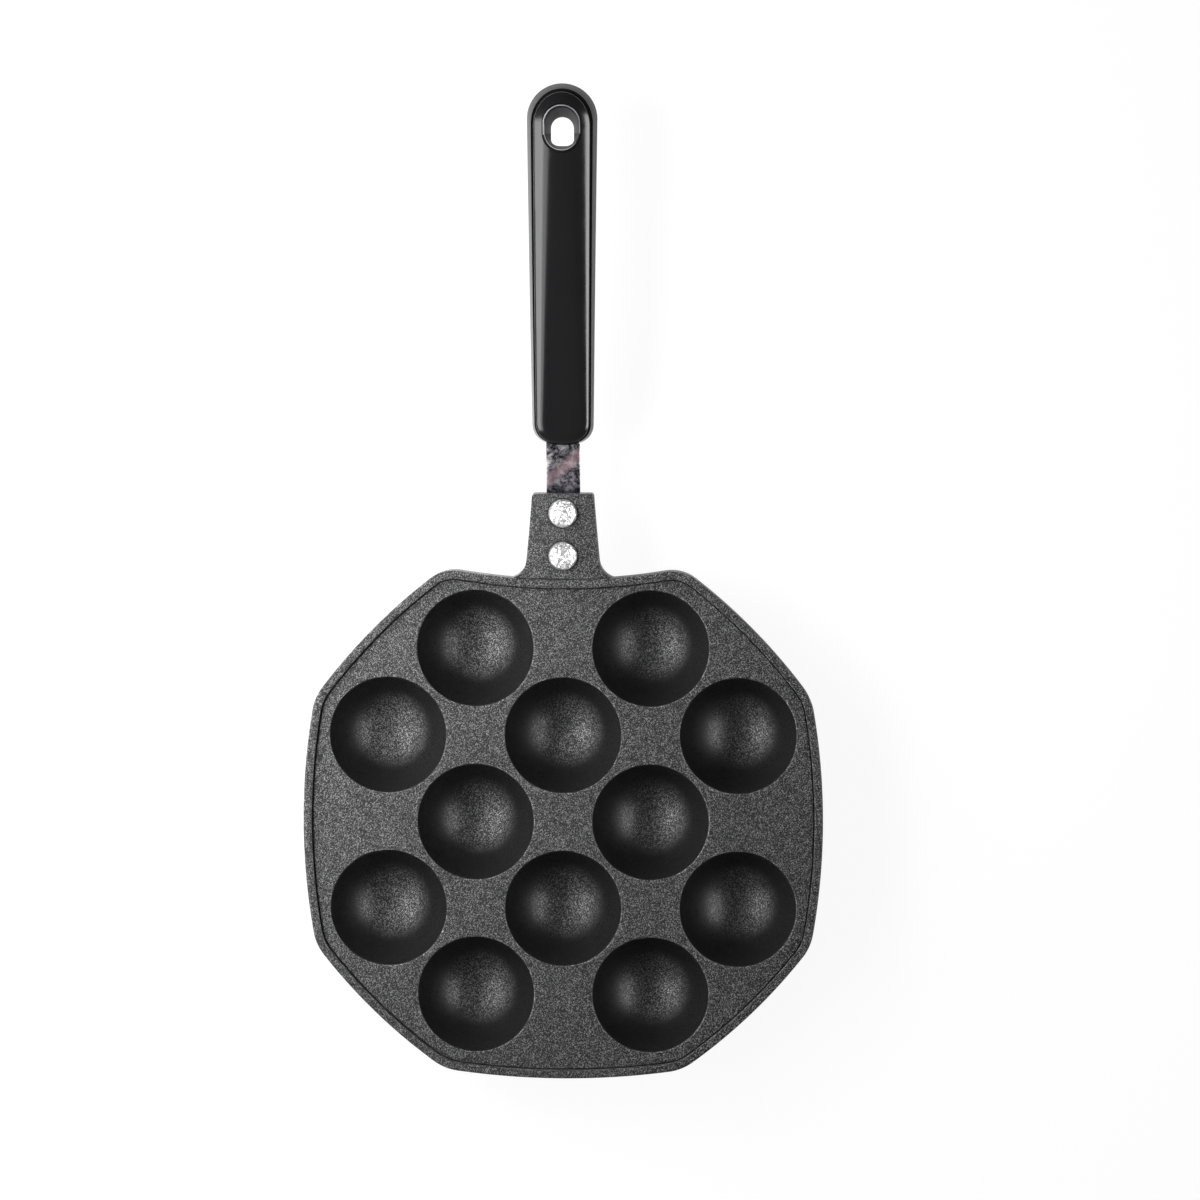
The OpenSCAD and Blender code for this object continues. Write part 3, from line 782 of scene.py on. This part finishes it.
def place(name, data, materials):
    obj = new_object(name, data)
    for mat in materials:
        data.materials.append(mat)
    return obj


def carve(obj, tools):
    """Joins tools to an object or takes them out of it: tools holds (mesh, operation)."""
    helpers = []
    for data, operation in tools:
        helper = new_object("helper", data)
        helpers.append(helper)
        change = obj.modifiers.new(operation, "BOOLEAN")
        change.solver = "EXACT"
        change.operation = operation
        change.object = helper
    graph = bpy.context.evaluated_depsgraph_get()
    result = bpy.data.meshes.new_from_object(obj.evaluated_get(graph))
    obj.modifiers.clear()
    obj.data = result
    for helper in helpers:
        bpy.data.objects.remove(helper)


def smooth(obj, angle):
    for polygon in obj.data.polygons:
        polygon.use_smooth = True
    obj.data.set_sharp_from_angle(angle=math.radians(angle))


# Pan body

# Slots of the pan's materials, after the coat's, which is 0
# The cup slot holds a lighter copy of the coat, with painted shade on the steep walls
CUP = 1
# The crease slot holds a darker copy of the coat: painted shade in the gutter, the crease over the lug
# and the gaps round the rivets' heads
CREASE_PAINTED_SHADE = 2
# The higher, the sharper the valleys between the domes
VALLEY_SHARPNESS = 14
# Points on the underside: rings on a dome, least distance from a valley, half length and count of
# points of a valley, distances of the lines along the skirt and their distance from the domes
DOME_RINGS = 15
POINT_R = 0.01
FLAT_MARGIN = 0.5
NEIGHBOUR_MARGIN = 2
VALLEY_CLEARANCE = 0.35
VALLEY_REACH = 11
VALLEY_POINTS = 29
SKIRT_LINES = (0.15, 0.4, 0.75, 1.1, 1.5, 2.2)
SKIRT_CLEARANCE = 0.6
EDGE_CLEARANCE = 0.14
# Width of the plain faces along the gutter and round the cups
LAND_W = 0.5
COLLAR_W = 0.4


def pan_outline():
    side_x = PAN_W / 2 - SIDE_BOW
    front_y = FRONT_BOW - FRONT_REACH
    rear_y = REAR_REACH + REAR_DIP
    right = [
        (FRONT_CORNER_X, front_y), (side_x, -SIDE_CORNER_Y),
        (side_x, SIDE_CORNER_Y), (REAR_CORNER_X, rear_y),
    ]
    left = [(-x, y) for x, y in right[::-1]]
    bows = [SLANT_BOW, SIDE_BOW, SLANT_BOW, -REAR_DIP, SLANT_BOW, SIDE_BOW, SLANT_BOW, FRONT_BOW]
    radii = [CORNER_R] * 3 + [REAR_CORNER_R] * 2 + [CORNER_R] * 3
    return outline(right + left, bows, radii, EDGE_STEP, CORNER_STEP)


def lug_outline():
    """The lug with the flares at its root, which reach into the rim."""
    bow_r = (REAR_CORNER_X ** 2 + REAR_DIP ** 2) / (2 * REAR_DIP)
    root_x = LUG_ROOT_W / 2
    root_y = REAR_REACH + bow_r - math.sqrt(bow_r ** 2 - root_x ** 2)
    base_x = root_x + LUG_FLARE_R * LUG_FLARE_REACH
    right = [
        (base_x, REAR_REACH - RIM_W / 2), (base_x, root_y - LUG_FLARE_DROP),
        (root_x, root_y), (LUG_END_W / 2, LUG_END_Y),
    ]
    left = [(-x, y) for x, y in right[::-1]]
    bows = [LUG_BOW, LUG_BOW, -LUG_WAIST, LUG_BOW, -LUG_WAIST, LUG_BOW, LUG_BOW, LUG_BOW]
    radii = [LUG_BASE_R, LUG_BASE_R, -LUG_FLARE_R, LUG_CORNER_R]
    return outline(right + left, bows, radii + radii[::-1], LUG_STEP, LUG_CORNER_STEP)


def dome_drop(distance):
    """Depth of a cup's outside below the plate's underside, with its fillet."""
    reach = DOME_R + UNDER_FILLET
    fillet_z = PLATE_BOTTOM - UNDER_FILLET
    fillet_x = math.sqrt(reach ** 2 - (CUP_Z - fillet_z) ** 2)
    tangent = fillet_x * DOME_R / reach
    d = np.asarray(distance)
    ball = CUP_Z - np.sqrt(np.maximum(0, DOME_R ** 2 - np.minimum(d, tangent) ** 2))
    root = fillet_z + np.sqrt(np.maximum(0, UNDER_FILLET ** 2 - (fillet_x - d) ** 2))
    z = np.where(d < tangent, np.maximum(ball, 0), np.where(d < fillet_x, root, PLATE_BOTTOM))
    return PLATE_BOTTOM - z, tangent, fillet_x


def underside(points, edge):
    """Height of the underside at points that lie inside the skirt's line."""
    gaps = [np.hypot(*(points - c).T) for c in CUP_CENTRES]
    drops = [dome_drop(g)[0] for g in gaps]
    wall = np.maximum(0, UNDER_FILLET - distance_to(edge, points))
    drops.append(UNDER_FILLET - np.sqrt(UNDER_FILLET ** 2 - wall ** 2))
    sharp = VALLEY_SHARPNESS
    return PLATE_BOTTOM - (np.array(drops) ** sharp).sum(0) ** (1 / sharp)


def underside_points(edge, line):
    """Points on rings round the cups and along the skirt, and on the valleys between cups."""
    _, tangent, fillet_x = dome_drop(0)
    low = math.asin(FOOT_D / 2 / DOME_R)
    high = math.asin(tangent / DOME_R)
    radii = [DOME_R * math.sin(low + (high - low) * i / DOME_RINGS) for i in range(DOME_RINGS + 1)]
    radii += [tangent + (fillet_x - tangent) * math.sin(a) for a in quarter(ROUND_STEPS)[1:]]
    radii += [FOOT_D / 4, POINT_R, fillet_x + FLAT_MARGIN]
    found = []
    for centre in CUP_CENTRES:
        rings = np.concatenate([circle(r, CUP_SIDES if r > POINT_R else 1, centre) for r in radii])
        own = np.hypot(*(rings - centre).T)
        for other in CUP_CENTRES:
            if other is not centre and np.hypot(*(other - centre)) < 2 * fillet_x + NEIGHBOUR_MARGIN:
                gap = np.hypot(*(rings - other).T)
                keep = gap - own > VALLEY_CLEARANCE
                rings = rings[keep]
                own = own[keep]
        found.append(rings)
    valley = np.linspace(-VALLEY_REACH, VALLEY_REACH, VALLEY_POINTS)
    for i, a in enumerate(CUP_CENTRES):
        for b in CUP_CENTRES[i + 1:]:
            if np.hypot(*(b - a)) < 2 * fillet_x:
                along = turned(unit(b - a))
                found.append(np.array([(a + b) / 2 + along * t for t in valley]))
    for s in SKIRT_LINES:
        rail = line.inset(RIM_W + s)
        gaps = [np.hypot(*(rail - c).T) for c in CUP_CENTRES]
        found.append(rail[np.min(gaps, 0) > fillet_x + SKIRT_CLEARANCE])
    points = np.concatenate(found)
    points = points[inside(edge, points)]
    return points[distance_to(edge, points) > EDGE_CLEARANCE]


def pan_mesh():
    line = pan_outline()
    shell = Shell()
    edge = line.inset(RIM_W)
    skirt_back = SKIRT_INSET + SKIRT_T
    rings = [shell.ring(edge, PLATE_BOTTOM - UNDER_FILLET)]
    rings += shell.rounded(line, skirt_back, SKIRT_BOTTOM, -TOE_R, TOE_R, quarter(ROUND_STEPS))
    rings += shell.rounded(line, SKIRT_INSET, SKIRT_BOTTOM, TOE_R, TOE_R, quarter(ROUND_STEPS)[::-1])
    rings += shell.rounded(line, 0, RIM_TOP, RIM_EDGE_R, -RIM_EDGE_R, quarter(RIM_STEPS))
    inner = quarter(ROUND_STEPS)[::-1]
    rings += shell.rounded(line, RIM_W, RIM_TOP, -RIM_INNER_R, -RIM_INNER_R, inner)
    shell.stack(rings)
    gutter = [shell.ring(edge, PLATE_TOP)]
    for across, down in GUTTER_PROFILE:
        ring = line.inset(RIM_W + GUTTER_W * across)
        gutter.append(shell.ring(ring, PLATE_TOP - GUTTER_DEPTH * down))
    shell.bridge(rings[-1], gutter[0])
    # The gutter's faces carry the crease coat: painted shade along the rim's foot
    shell.stack(gutter, CREASE_PAINTED_SHADE)
    land = shell.ring(line.inset(RIM_W + GUTTER_W * GUTTER_PROFILE[-1][0] + LAND_W), PLATE_TOP)
    shell.bridge(gutter[-1], land)

    mouth_r = CUP_R + CUP_LIP_R
    lip_z = PLATE_TOP - CUP_LIP_R
    collars = []
    for centre in CUP_CENTRES:
        collar = shell.ring(circle(mouth_r + COLLAR_W, CUP_SIDES, centre), PLATE_TOP)
        bowl = [(mouth_r, PLATE_TOP)]
        for a in quarter(LIP_STEPS)[1:]:
            bowl.append((mouth_r - CUP_LIP_R * math.sin(a), lip_z + CUP_LIP_R * math.cos(a)))
        for a in quarter(BALL_STEPS)[1:-1]:
            bowl.append((CUP_R * math.cos(a), CUP_Z - CUP_R * math.sin(a)))
        bowl = [shell.ring(circle(r, CUP_SIDES, centre), z) for r, z in bowl]
        shell.bridge(collar, bowl[0])
        shell.stack(bowl, CUP)
        shell.close(bowl[-1], (centre[0], centre[1], CUP_Z - CUP_R), True, CUP)
        collars.append(collar)
    shell.cover(land, collars, [], True)

    points = underside_points(edge, line)
    extra = shell.ring(points, underside(points, edge))
    shell.cover(rings[0], [], extra, False)
    return shell.mesh("pan_body")


def lug_mesh():
    """The lug as a block with rounded lower and upper edges."""
    line = lug_outline()
    shell = Shell()
    rings = shell.rounded(line, 0, LUG_BOTTOM, LUG_UNDER_R, LUG_UNDER_R, quarter(ROUND_STEPS)[::-1])
    rings += shell.rounded(line, 0, LUG_TOP, LUG_EDGE_R, -LUG_EDGE_R, quarter(ROUND_STEPS))
    shell.stack(rings)
    shell.cover(rings[0], [], [], False)
    shell.cover(rings[-1], [], [], True)
    return shell.mesh("lug")


def channel_mesh():
    """Cutter for the tang's channel under the lug."""
    x = TANG_W / 2 + TANG_FIT
    start = TANG_START_Y - TANG_FIT
    end = LUG_END_Y + CUT_SPARE
    line = [(x, start), (x, end), (-x, end), (-x, start)]
    return prism("channel", line, LUG_BOTTOM - CUT_SPARE, TANG_TOP)


def hole_mesh(y):
    """Cutter for a rivet's hole."""
    line = circle(RIVET_D / 2 + RIVET_FIT, RIVET_SIDES, (0, y))
    return prism("hole", line, LUG_BOTTOM - CUT_SPARE, LUG_TOP + CUT_SPARE)


def crease_mesh():
    """Narrow cutter that follows the rim's outer edge over the lug; its faces carry the crease coat,
    painted shade.
    """
    line = pan_outline()
    near = (line.points[:, 1] > 0) & (np.abs(line.points[:, 0]) < CREASE_REACH)
    inner = line.inset(CREASE_OVERLAP)[near]
    outer = line.inset(-CREASE_W)[near]
    loop = np.concatenate((inner[::-1], outer))
    return prism("crease", loop, *CREASE_LEVELS, CREASE_PAINTED_SHADE)


def groove_mesh(y):
    """Ring cutter for the narrow gap at the foot of a rivet's head; its faces carry the crease coat,
    painted shade.
    """
    shell = Shell()
    radii = (RIVET_HEAD_D / 2 - HEAD_OVERHANG, RIVET_HEAD_D / 2 + HEAD_GAP)
    lines = [circle(r, RIVET_SIDES, (0, y)) for r in radii]
    inner, outer = [[shell.ring(line, z) for z in CREASE_LEVELS] for line in lines]
    shell.bridge(outer[0], outer[1], CREASE_PAINTED_SHADE)
    shell.bridge(inner[1], inner[0], CREASE_PAINTED_SHADE)
    shell.cover(outer[0], [inner[0]], [], False, CREASE_PAINTED_SHADE)
    shell.cover(outer[1], [inner[1]], [], True, CREASE_PAINTED_SHADE)
    return shell.mesh("groove")


def make_pan(finishes):
    obj = place("casting", pan_mesh(), finishes)
    tools = [(lug_mesh(), "UNION"), (channel_mesh(), "DIFFERENCE")]
    for y in (RIVET_FRONT_Y, RIVET_REAR_Y):
        tools += [(hole_mesh(y), "DIFFERENCE"), (groove_mesh(y), "DIFFERENCE")]
    tools.append((crease_mesh(), "DIFFERENCE"))
    carve(obj, tools)
    smooth(obj, angle=35)
    return obj


# Tang

# Distances of the points on the strip's flat sides: from its ends, from each other and from holes
STRIP_MARGIN = 2.4
STRIP_ROW = 0.8
STRIP_COLUMNS = np.linspace(-4, 4, 7)
HOLE_CLEARANCE = 0.4


def strip_mesh(name, gap, start, end, edge_r, lock_d):
    """The strip from one length to another, bent up behind the lug; lengths run along it."""
    half = TANG_W / 2 + gap
    corners = [(half, start), (half, end), (-half, end), (-half, start)]
    line = outline(corners, [STRIP_BOW] * 4, [TANG_CORNER_R] * 4, STRIP_STEP, STRIP_CORNER_STEP)
    front = RIVET_FRONT_Y - TANG_START_Y
    holes = [(y, RIVET_D / 2 + RIVET_FIT) for y in (front, front + RIVET_PITCH)]
    holes += [(STRIP_L - LOCK_INSET - back, lock_d / 2) for back in (0, LOCK_PITCH)]
    holes = [(y, r) for y, r in holes if start + r < y < end - r]
    shell = Shell()
    rings = shell.rounded(line, 0, 0, edge_r, edge_r, quarter(FINE_STEPS)[::-1])
    rings += shell.rounded(line, 0, TANG_T, edge_r, -edge_r, quarter(FINE_STEPS))
    shell.stack(rings)
    rows = np.arange(start + STRIP_MARGIN, end - STRIP_MARGIN, STRIP_ROW)
    grid = [(x, y) for y in rows for x in STRIP_COLUMNS]
    grid = [p for p in grid if all(math.hypot(p[0], p[1] - y) > r + HOLE_CLEARANCE for y, r in holes)]
    low = [shell.ring(circle(r, LOCK_SIDES, (0, y)), 0) for y, r in holes]
    high = [shell.ring(circle(r, LOCK_SIDES, (0, y)), TANG_T) for y, r in holes]
    shell.cover(rings[0], low, shell.ring(grid, 0), False)
    shell.cover(rings[-1], high, shell.ring(grid, TANG_T), True)
    for a, b in zip(low, high):
        shell.bridge(b, a)
    points = np.array(shell.points)
    s = points[:, 1] - (BEND_Y - TANG_START_Y)
    h = points[:, 2] - TANG_T / 2
    turn = np.clip(s / TANG_BEND_R, 0, TANG_RISE)
    past = np.maximum(0, s - TANG_BEND_R * TANG_RISE)
    y = BEND_Y + np.minimum(s, 0) + (TANG_BEND_R - h) * np.sin(turn) + past * np.cos(turn)
    z = TANG_Z + TANG_BEND_R - (TANG_BEND_R - h) * np.cos(turn) + past * np.sin(turn)
    shell.points = list(zip(points[:, 0], y, z))
    return shell.mesh(name)


def make_tang(finish):
    obj = place("strip", strip_mesh("strip", 0, 0, STRIP_L, STRIP_EDGE_R, LOCK_D), [finish])
    smooth(obj, angle=35)
    return obj


# Rivets

# Slope of a rivet's end, in degrees, at shares of its radius
CAP_REACH = (0, 0.1, 0.78, 0.85, 0.9, 1)
CAP_SLOPE = (6, 14, 28, 38, 64, 80)
CAP_RINGS = 40
CAP_TOP_SHARE = 0.02
CAP_UNDERCUT = 0.1


def cap(diameter, height):
    """Profile of an end as (radius, height), from its base to its top: a dome that curls down."""
    reach = np.linspace(1, CAP_TOP_SHARE, CAP_RINGS)
    slope = np.radians(np.interp(reach, CAP_REACH, CAP_SLOPE))
    step = -np.diff(reach) * diameter / 2
    rise = np.concatenate(((0,), np.cumsum(step * np.tan((slope[1:] + slope[:-1]) / 2))))
    rise *= (height - RIVET_EDGE_H) / rise[-1]
    base = (diameter / 2 - CAP_UNDERCUT, 0.0)
    return [base] + list(zip(reach * diameter / 2, rise + RIVET_EDGE_H))


def make_rivet(name, y, finish):
    """Head with a forged edge, shank and formed end, turned round one axis."""
    profile = [(r, TANG_BOTTOM - h) for r, h in cap(RIVET_TAIL_D, RIVET_TAIL_H)[::-1]]
    profile += [(RIVET_D / 2, z) for z in (TANG_BOTTOM, LUG_TOP)]
    profile += [(r, LUG_TOP + h) for r, h in cap(RIVET_HEAD_D, RIVET_HEAD_H)]
    shell = Shell()
    rings = [shell.ring(circle(r, RIVET_SIDES, (0, y)), z) for r, z in profile]
    shell.stack(rings)
    shell.close(rings[0], (0, y, TANG_BOTTOM - RIVET_TAIL_H), False)
    shell.close(rings[-1], (0, y, LUG_TOP + RIVET_HEAD_H), True)
    obj = place(name, shell.mesh(name), [finish])
    smooth(obj, angle=50)
    return obj


# Handle

# Slots of the handle's materials, after the glossy one's, which is 0
# The third slot is a black resin that reflects little: painted shade in the moat and the near part of
# the recess
SATIN = 1
PAINTED_SHADE = 2
# The fourth slot is a lighter grey resin: a painted highlight on the far part of the ring's crest
PAINTED_HIGHLIGHT = 3
NOSE_STEPS = 30
SIDE_STEPS = 80
# The higher, the closer the hanging hole comes to the corner between its two outlines
HOLE_SHARPNESS = 24
# Distances of the lines of points on the panel from its edge, and round an opening
PANEL_LINES = (0.35, 0.8, 1.4, 2.1, 2.9, 3.7, 4.6, 5.5, 6.5, 7.5)
OPENING_LINES = (0.9, 1.4, 1.9, 2.5)
PANEL_CLEARANCE = 0.3
APRON_W = 0.3
APRON_CLEARANCE = 0.1
# Distance of the tang's pocket from the end of the strip's bend, and the rounding of its edges
POCKET_LEAD = 2
POCKET_EDGE_R = 0.01


def arch(y):
    """Height of the arched centre line over its chord."""
    return 4 * HANDLE_BOW * y / HANDLE_L * (1 - y / HANDLE_L)


def handle_plan():
    """The handle seen from above, anticlockwise, with y from 0 to its length."""
    root = HANDLE_ROOT_W / 2
    tip = HANDLE_TIP_W / 2
    turns = quarter(NOSE_STEPS)[:-1]
    power = NOSE_POWER
    nose = [
        (root * math.sin(a) ** power, HANDLE_NOSE_L * (1 - math.cos(a) ** power)) for a in turns
    ]
    side = [
        (root + (tip - root) * share, HANDLE_NOSE_L + (HANDLE_L - tip - HANDLE_NOSE_L) * share)
        for share in np.linspace(0, 1, SIDE_STEPS + 1)[:-1]
    ]
    end = [(tip * math.cos(a), HANDLE_L - tip + tip * math.sin(a)) for a in turns]
    right = nose + side + end
    left = [(-x, y) for x, y in right[:0:-1]]
    return np.array(right + [(0, HANDLE_L)] + left)


def drawn_in(plan, inset):
    """The handle's plan drawn in by an inset, less so at the pan end."""
    half_l = HANDLE_L / 2
    nose = NOSE_SHARE * min(inset, BEAD_W) + max(0, inset - BEAD_W)
    end = np.where(plan[:, 1] > half_l, inset, nose)
    share = BEAD_ROOT_SHARE + (1 - BEAD_ROOT_SHARE) * plan[:, 1] / HANDLE_L
    x = plan[:, 0] * (1 - inset * share / (HANDLE_TIP_W / 2))
    y = half_l + (plan[:, 1] - half_l) * (1 - end / half_l)
    return np.stack((x, y), 1)


def handle_section():
    """Upper half of the section as (inset, height), from the parting line to the panel."""
    bead_w = BEAD_W - BEAD_TRIM
    section = []
    for share in np.linspace(0, 1, BEAD_STEPS + 1):
        section.append((bead_w * share, BEAD_H * share * (2 + BEAD_CURVE * (1 - share)) / 2))
    for off, share in GROOVE_BEAD_SIDE:
        section.append((bead_w + off, BEAD_H - GROOVE_DEPTH * share))
    for off, share in GROOVE_PANEL_SIDE:
        section.append((PANEL_INSET - off, BEAD_H - GROOVE_DEPTH * share))
    for share in np.linspace(0, 1, PANEL_EDGE_STEPS + 1):
        a = (math.pi / 2 - CROWN_TILT) * share
        inset = PANEL_INSET + PANEL_EDGE_R * (1 - math.cos(a))
        section.append((inset, CROWN_BASE - PANEL_ROUND_H + PANEL_EDGE_R * math.sin(a)))
    return section


def hole_line(count):
    """The through hole: round at the far end, flat at the pan's, and inside the recess."""
    middle = np.array((0, (HOLE_L - RECESS_L) / 2 + HOLE_LEDGE))
    spare = HOLE_W / 2
    rays = circle(1, count)
    far = slot_reach(HOLE_W, HOLE_L + spare, middle[1] - spare / 2, rays, middle)
    flat_y = HOLE_FLAT - RECESS_L / 2 + (HOLE_L + spare) / 2
    near = slot_reach(HOLE_W, HOLE_L + spare, flat_y, rays, middle, HOLE_CORNER_R)
    a = np.minimum(far, near)
    margin = 2 * (RIB_W + HOLE_MARGIN)
    b = slot_reach(RECESS_W - margin, RECESS_L - margin, 0, rays, middle)
    sharp = HOLE_SHARPNESS
    reach = (a ** -sharp + b ** -sharp) ** (-1 / sharp)
    return with_normals(middle + rays * reach[:, None])


def crown(points, edge):
    """Height of the crown over its edge: an arc that narrows towards the pan."""
    share = CROWN_ROOT_SHARE + (1 - CROWN_ROOT_SHARE) * np.clip(points[:, 1] / HANDLE_L, 0, 1)
    u = np.maximum(0, CROWN_REACH * share - distance_to(edge, points))
    r = CROWN_R * share
    rise = np.sqrt(r ** 2 - u ** 2) - r * math.cos(CROWN_TILT)
    return np.maximum(0, rise)


def handle_mesh():
    """The handle without its pocket: shell, panel, recess, hanging hole and underside."""
    plan = handle_plan()
    edge = drawn_in(plan, PANEL_INSET + PANEL_ROUND_W)
    section = handle_section()
    shell = Shell()
    rings = []
    for inset, level in [(inset, -level) for inset, level in section[:0:-1]] + section:
        ring = drawn_in(plan, inset)
        rings.append(shell.ring(ring, arch(ring[:, 1]) + level))
    shell.stack(rings)

    centre = np.array((0, HANDLE_L - RECESS_INSET))
    level = arch(centre[1])
    recess = slot_line(RECESS_W - 2 * RIB_W, RECESS_L - 2 * RIB_W, RECESS_SIDES)
    hole = hole_line(RECESS_SIDES)
    far_part = recess.points[:, 1] > FAR_PART_FROM
    # Satin on the far part of the slope, painted shade near the pan
    satin_and_painted_shade = np.where(far_part, SATIN, PAINTED_SHADE)

    def top_z(points):
        return arch(points[:, 1]) + CROWN_BASE + crown(points, edge)

    def under_z(points):
        return arch(points[:, 1]) - CROWN_BASE - crown(points, edge)

    def around(shape, offset):
        return shape.inset(-offset) + centre

    def ring_at(shape, offset, height, drop=0):
        """A ring at an offset from an opening, a drop below a surface."""
        line = around(shape, offset)
        return shell.ring(line, height(line) - drop)

    def grid(shape, margin):
        """Points over the panel, clear of its edge and of an opening."""
        found = [drawn_in(plan, PANEL_INSET + PANEL_ROUND_W + d) for d in PANEL_LINES]
        found += [around(shape, offset) for offset in OPENING_LINES]
        points = np.concatenate(found)
        keep = inside(edge, points) & (distance_to(edge, points) > PANEL_CLEARANCE)
        keep &= ~inside(around(shape, margin), points)
        return points[keep]

    rib_out = RECESS_LIP_R + RIB_W
    apron = rib_out + MOAT_W + APRON_W
    lip = ring_at(recess, apron, top_z)
    moat = []
    for share in np.linspace(0, 1, MOAT_STEPS + 1):
        drop = MOAT_DEPTH * math.sin(math.pi * share)
        moat.append(ring_at(recess, rib_out + MOAT_W * (1 - share), top_z, drop))
    shell.bridge(lip, moat[0])
    # The moat carries painted shade
    shell.stack(moat, PAINTED_SHADE)
    wall = [ring_at(recess, RECESS_LIP_R, top_z)]
    # The ring's crest carries a painted highlight on the far part and painted shade near the pan
    shell.bridge(moat[-1], wall[0], np.where(far_part, PAINTED_HIGHLIGHT, PAINTED_SHADE))
    for a in quarter(LIP_STEPS)[::-1][1:]:
        drop = RECESS_LIP_R * (1 - math.sin(a))
        wall.append(ring_at(recess, RECESS_LIP_R * (1 - math.cos(a)), top_z, drop))
    points = grid(recess, apron + APRON_CLEARANCE)
    shell.cover(rings[-1], [lip], shell.ring(points, top_z(points)), True)
    for a in quarter(FINE_STEPS):
        ring = around(recess, -RECESS_FLOOR_R * (1 - math.cos(a)))
        wall.append(shell.ring(ring, level + RECESS_EDGE + RECESS_FLOOR_R * (1 - math.sin(a))))
    shell.stack(wall)
    wide = around(recess, -RECESS_FLOOR_R)
    narrow = around(hole, 0)
    slope = [wall[-1]]
    for share in np.linspace(0, 1, SLOPE_STEPS + 1)[1:]:
        height = level + RECESS_EDGE + (-BEAD_H - RECESS_EDGE) * share
        slope.append(shell.ring(wide + (narrow - wide) * share, height))
    # The top of the slope carries painted shade; below it the far part is satin and the near part
    # painted shade
    shell.stack(slope[:2], PAINTED_SHADE)
    shell.stack(slope[1:], satin_and_painted_shade)

    bore = [slope[-1]]
    for a in quarter(FINE_STEPS):
        rise = HOLE_EDGE_R * (1 - math.sin(a))
        bore.append(ring_at(hole, HOLE_DRAFT + HOLE_EDGE_R * (1 - math.cos(a)), under_z, -rise))
    apron = HOLE_DRAFT + HOLE_EDGE_R + APRON_W
    bore.append(ring_at(hole, apron, under_z))
    shell.stack(bore)
    points = grid(hole, apron + APRON_CLEARANCE)
    shell.cover(rings[0], [bore[-1]], shell.ring(points, under_z(points)), False)

    points = np.array(shell.points)
    y = HANDLE_Y + points[:, 1] * math.cos(HANDLE_RISE) - points[:, 2] * math.sin(HANDLE_RISE)
    z = HANDLE_Z + points[:, 1] * math.sin(HANDLE_RISE) + points[:, 2] * math.cos(HANDLE_RISE)
    shell.points = list(zip(points[:, 0], y, z))
    return shell.mesh("grip")


def make_handle(finishes):
    obj = place("grip", handle_mesh(), finishes)
    start = STRIP_RUN + POCKET_LEAD
    end = STRIP_L + TANG_FIT
    pocket = strip_mesh("pocket", TANG_FIT, start, end, POCKET_EDGE_R, LOCK_D - 2 * TANG_FIT)
    carve(obj, [(pocket, "DIFFERENCE")])
    smooth(obj, angle=40)
    return obj


make_camera()
make_world()
make_floor()
softbox("left_light", angle=41.5, turn=186, distance=0.75, size=(0.26, 0.66), radiance=5.1)
softbox("left_glow", angle=27, turn=185, distance=0.75, size=(0.17, 0.66), radiance=2.4, diffuse=False)
softbox("fill_light", angle=55, turn=157, distance=0.25, size=(0.2, 0.3), radiance=10.6, glossy=False)
softbox("right_light", angle=49.5, turn=-3, distance=1.1, size=(0.4, 1.0), radiance=6.9, diffuse=False)

# The crease coat keeps only 0.15 of the coat's brightness: painted shade in the creases
coats = [coating("coating", share=0.57), cup_coating(), coating("crease_painted_shade_coating", share=0.15)]
bright = rivet_metal()
resins = [
    plastic("moulded_black", rough=(0.1, 0.2)),
    plastic("moulded_satin", rough=(0.5, 0.6)),
    # A resin with a low IOR reflects little: painted shade
    plastic("moulded_painted_shade", rough=(0.5, 0.6), ior=1.2),
    # A lighter grey resin: painted highlight on the ring's crest
    plastic("moulded_painted_highlight", rough=(0.4, 0.5), level=0.2),
]
built = {
    "pan_body": (make_pan(coats), "coating"),
    "tang": (make_tang(rolled_steel()), "strip_steel"),
    "rivet_front": (make_rivet("rivet_near_pan", RIVET_FRONT_Y, bright), "rivet_metal"),
    "rivet_rear": (make_rivet("rivet_near_handle", RIVET_REAR_Y, bright), "rivet_metal"),
    "handle": (make_handle(resins), "moulded_black"),
}
for node, (piece, slot) in built.items():
    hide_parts(node)
    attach(piece, "root")
    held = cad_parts[node].data
    held.materials.clear()
    for mat in piece.data.materials:
        held.materials.append(mat)

scene.view_settings.view_transform = "Standard"
